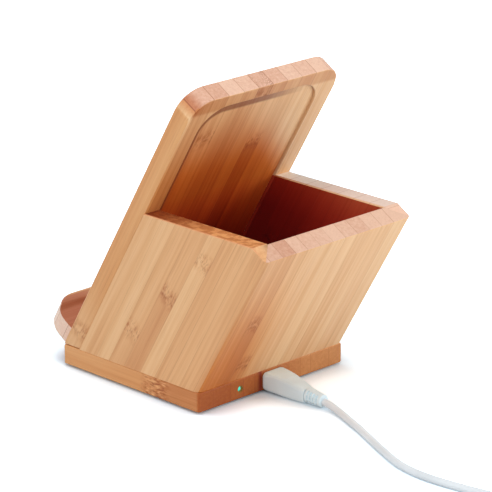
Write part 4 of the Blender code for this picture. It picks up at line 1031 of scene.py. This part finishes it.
def relief_slot(share, angle):
    """1 in the middle of a slot and 0 between slots."""
    row = (share - SLOT_ZONE[0]) / (SLOT_ZONE[1] - SLOT_ZONE[0]) * SLOT_ROWS
    if not 0 < row < SLOT_ROWS:
        return 0.0
    in_row = pulse(row - math.floor(row) - 0.5, SLOT_SHARE / 2, SLOT_SHARE_BLEND)
    from_side = math.asin(math.sin(angle))
    return in_row * max(pulse(from_side - middle, SLOT_HALF, SLOT_HALF_BLEND) for middle in SLOT_MIDDLES)


def make_relief():
    """The plug's strain relief: a tapering sleeve with rows of short slots on both sides."""
    low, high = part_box("usb_plug_strain_relief")
    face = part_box("usb_plug_body")[0].y
    exit_y = high.y + GAP
    length = high.y - low.y
    bm = bmesh.new()
    rings = []
    for i in range(RELIEF_RINGS + 1):
        share = i / RELIEF_RINGS
        y = low.y + length * share
        bend = (y - face) / (exit_y - face)
        lowest = (RELIEF_START + (RELIEF_END - RELIEF_START) * share) / 2 + RELIEF_CLEARANCE
        z = max(socket_middle() - PLUG_SAG * bend * bend * (3 - 2 * bend), lowest)
        radius = relief_radius(share, length)
        ring = []
        for k in range(RELIEF_SIDES):
            angle = 2 * math.pi * k / RELIEF_SIDES
            reach = radius - SLOT_DEPTH * relief_slot(share, angle)
            ring.append(bm.verts.new((reach * math.cos(angle), y, z + reach * math.sin(angle))))
        rings.append(ring)
    for near, beyond in zip(rings[:-1], rings[1:]):
        for k in range(RELIEF_SIDES):
            after = (k + 1) % RELIEF_SIDES
            bm.faces.new((near[k], near[after], beyond[after], beyond[k]))
    bm.faces.new(rings[0])
    bm.faces.new(rings[-1])
    bmesh.ops.recalc_face_normals(bm, faces=bm.faces[:])
    mesh = bpy.data.meshes.new("plug_relief")
    bm.to_mesh(mesh)
    bm.free()
    mesh.shade_smooth()
    mesh.set_sharp_from_angle(angle=RELIEF_SHARP)
    relief = bpy.data.objects.new("plug_relief", mesh)
    bpy.context.scene.collection.objects.link(relief)
    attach(relief, "cable")
    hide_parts("usb_plug_strain_relief")
    return relief


relief = make_relief()
dress_bamboo()
dress_nodes()


# Studio
FLOOR_REACH = 4.0
FLOOR_NEAR = 0.06                 # distances from the origin between which the floor's gain grows
FLOOR_FAR = 2.00
FLOOR_GAIN = 1.75
FLOOR_FAR_GAIN = 8.0
FLOOR_TINT = (0.87, 1.10)         # of red and of blue, against the bamboo's warm bounce
FLOOR_BOUNCE = 0.75
CONTACT_REACH = 0.014             # shade of contact, from how open a place on the floor is
CONTACT_OPEN = 0.50
CONTACT_SHADE = 0.62
WORLD_LEVEL = 0.28
LAMPS = (
    # name, place, aim, size, watts
    ("side light", (0.80, -0.10, 0.50), (0.0, 0.0, 0.05), 0.60, 2.2),
    ("camera side light", (0.62, 0.62, 0.50), (0.0, 0.02, 0.07), 0.30, 1.5),
    ("rear light", (0.10, 0.88, 0.30), (0.0, 0.02, 0.07), 0.30, 1.2),
    ("far rear light", (-0.38, 0.42, 0.24), (0.0, 0.03, 0.07), 0.30, 1.15),
    ("top light", (0.10, 0.05, 0.90), (0.0, 0.0, 0.07), 0.50, 2.7),
)


def floor_material():
    """Brighter with distance for the camera, up to white, and a plain pale floor for bounced light."""
    look = Shader("pale floor")
    look.tree.nodes.remove(look.surface)
    away = look.add("ShaderNodeVectorMath", {0: look.place_on_object()}, operation="LENGTH")
    gain = look.span(away.outputs["Value"], FLOOR_NEAR, FLOOR_FAR, FLOOR_GAIN, FLOOR_FAR_GAIN)
    open_share = look.add("ShaderNodeAmbientOcclusion", {"Distance": CONTACT_REACH}).outputs["AO"]
    gain = look.math("MULTIPLY", gain, look.span(open_share, CONTACT_OPEN, 1.0, CONTACT_SHADE, 1.0))
    red, blue = (look.math("MULTIPLY", gain, share) for share in FLOOR_TINT)
    seen = look.add("ShaderNodeBsdfDiffuse", {"Color": look.vector(red, gain, blue)})
    plain = look.add("ShaderNodeBsdfDiffuse", {"Color": (FLOOR_BOUNCE, FLOOR_BOUNCE, FLOOR_BOUNCE, 1.0)})
    look.choose(plain, seen)
    return look.material


def make_floor():
    mesh = bpy.data.meshes.new("floor")
    corners = [(x * FLOOR_REACH, y * FLOOR_REACH, 0) for x, y in ((-1, -1), (1, -1), (1, 1), (-1, 1))]
    mesh.from_pydata(corners, [], [(0, 1, 2, 3)])
    mesh.materials.append(floor_material())
    floor = bpy.data.objects.new("floor", mesh)
    bpy.context.scene.collection.objects.link(floor)


def make_world():
    world = bpy.data.worlds.new("studio")
    world.use_nodes = True
    sky = Tree(world.node_tree, "World Output")
    light = sky.tree.nodes["Background"]
    light.inputs["Color"].default_value = (*WHITE, 1.0)
    light.inputs["Strength"].default_value = WORLD_LEVEL
    backdrop = sky.add("ShaderNodeBackground", {"Color": (*WHITE, 1.0)})
    sky.choose(light, backdrop)
    bpy.context.scene.world = world


def make_lamp(name, place, aim, size, watts):
    data = bpy.data.lights.new(name, "AREA")
    data.shape = "DISK"
    data.size = size
    data.energy = watts
    lamp = bpy.data.objects.new(name, data)
    bpy.context.scene.collection.objects.link(lamp)
    lamp.location = place
    lamp.rotation_mode = "QUATERNION"
    lamp.rotation_quaternion = (Vector(aim) - Vector(place)).to_track_quat("-Z", "Y")


make_floor()
make_world()
for lamp in LAMPS:
    make_lamp(*lamp)

bpy.context.scene.view_settings.view_transform = "Standard"
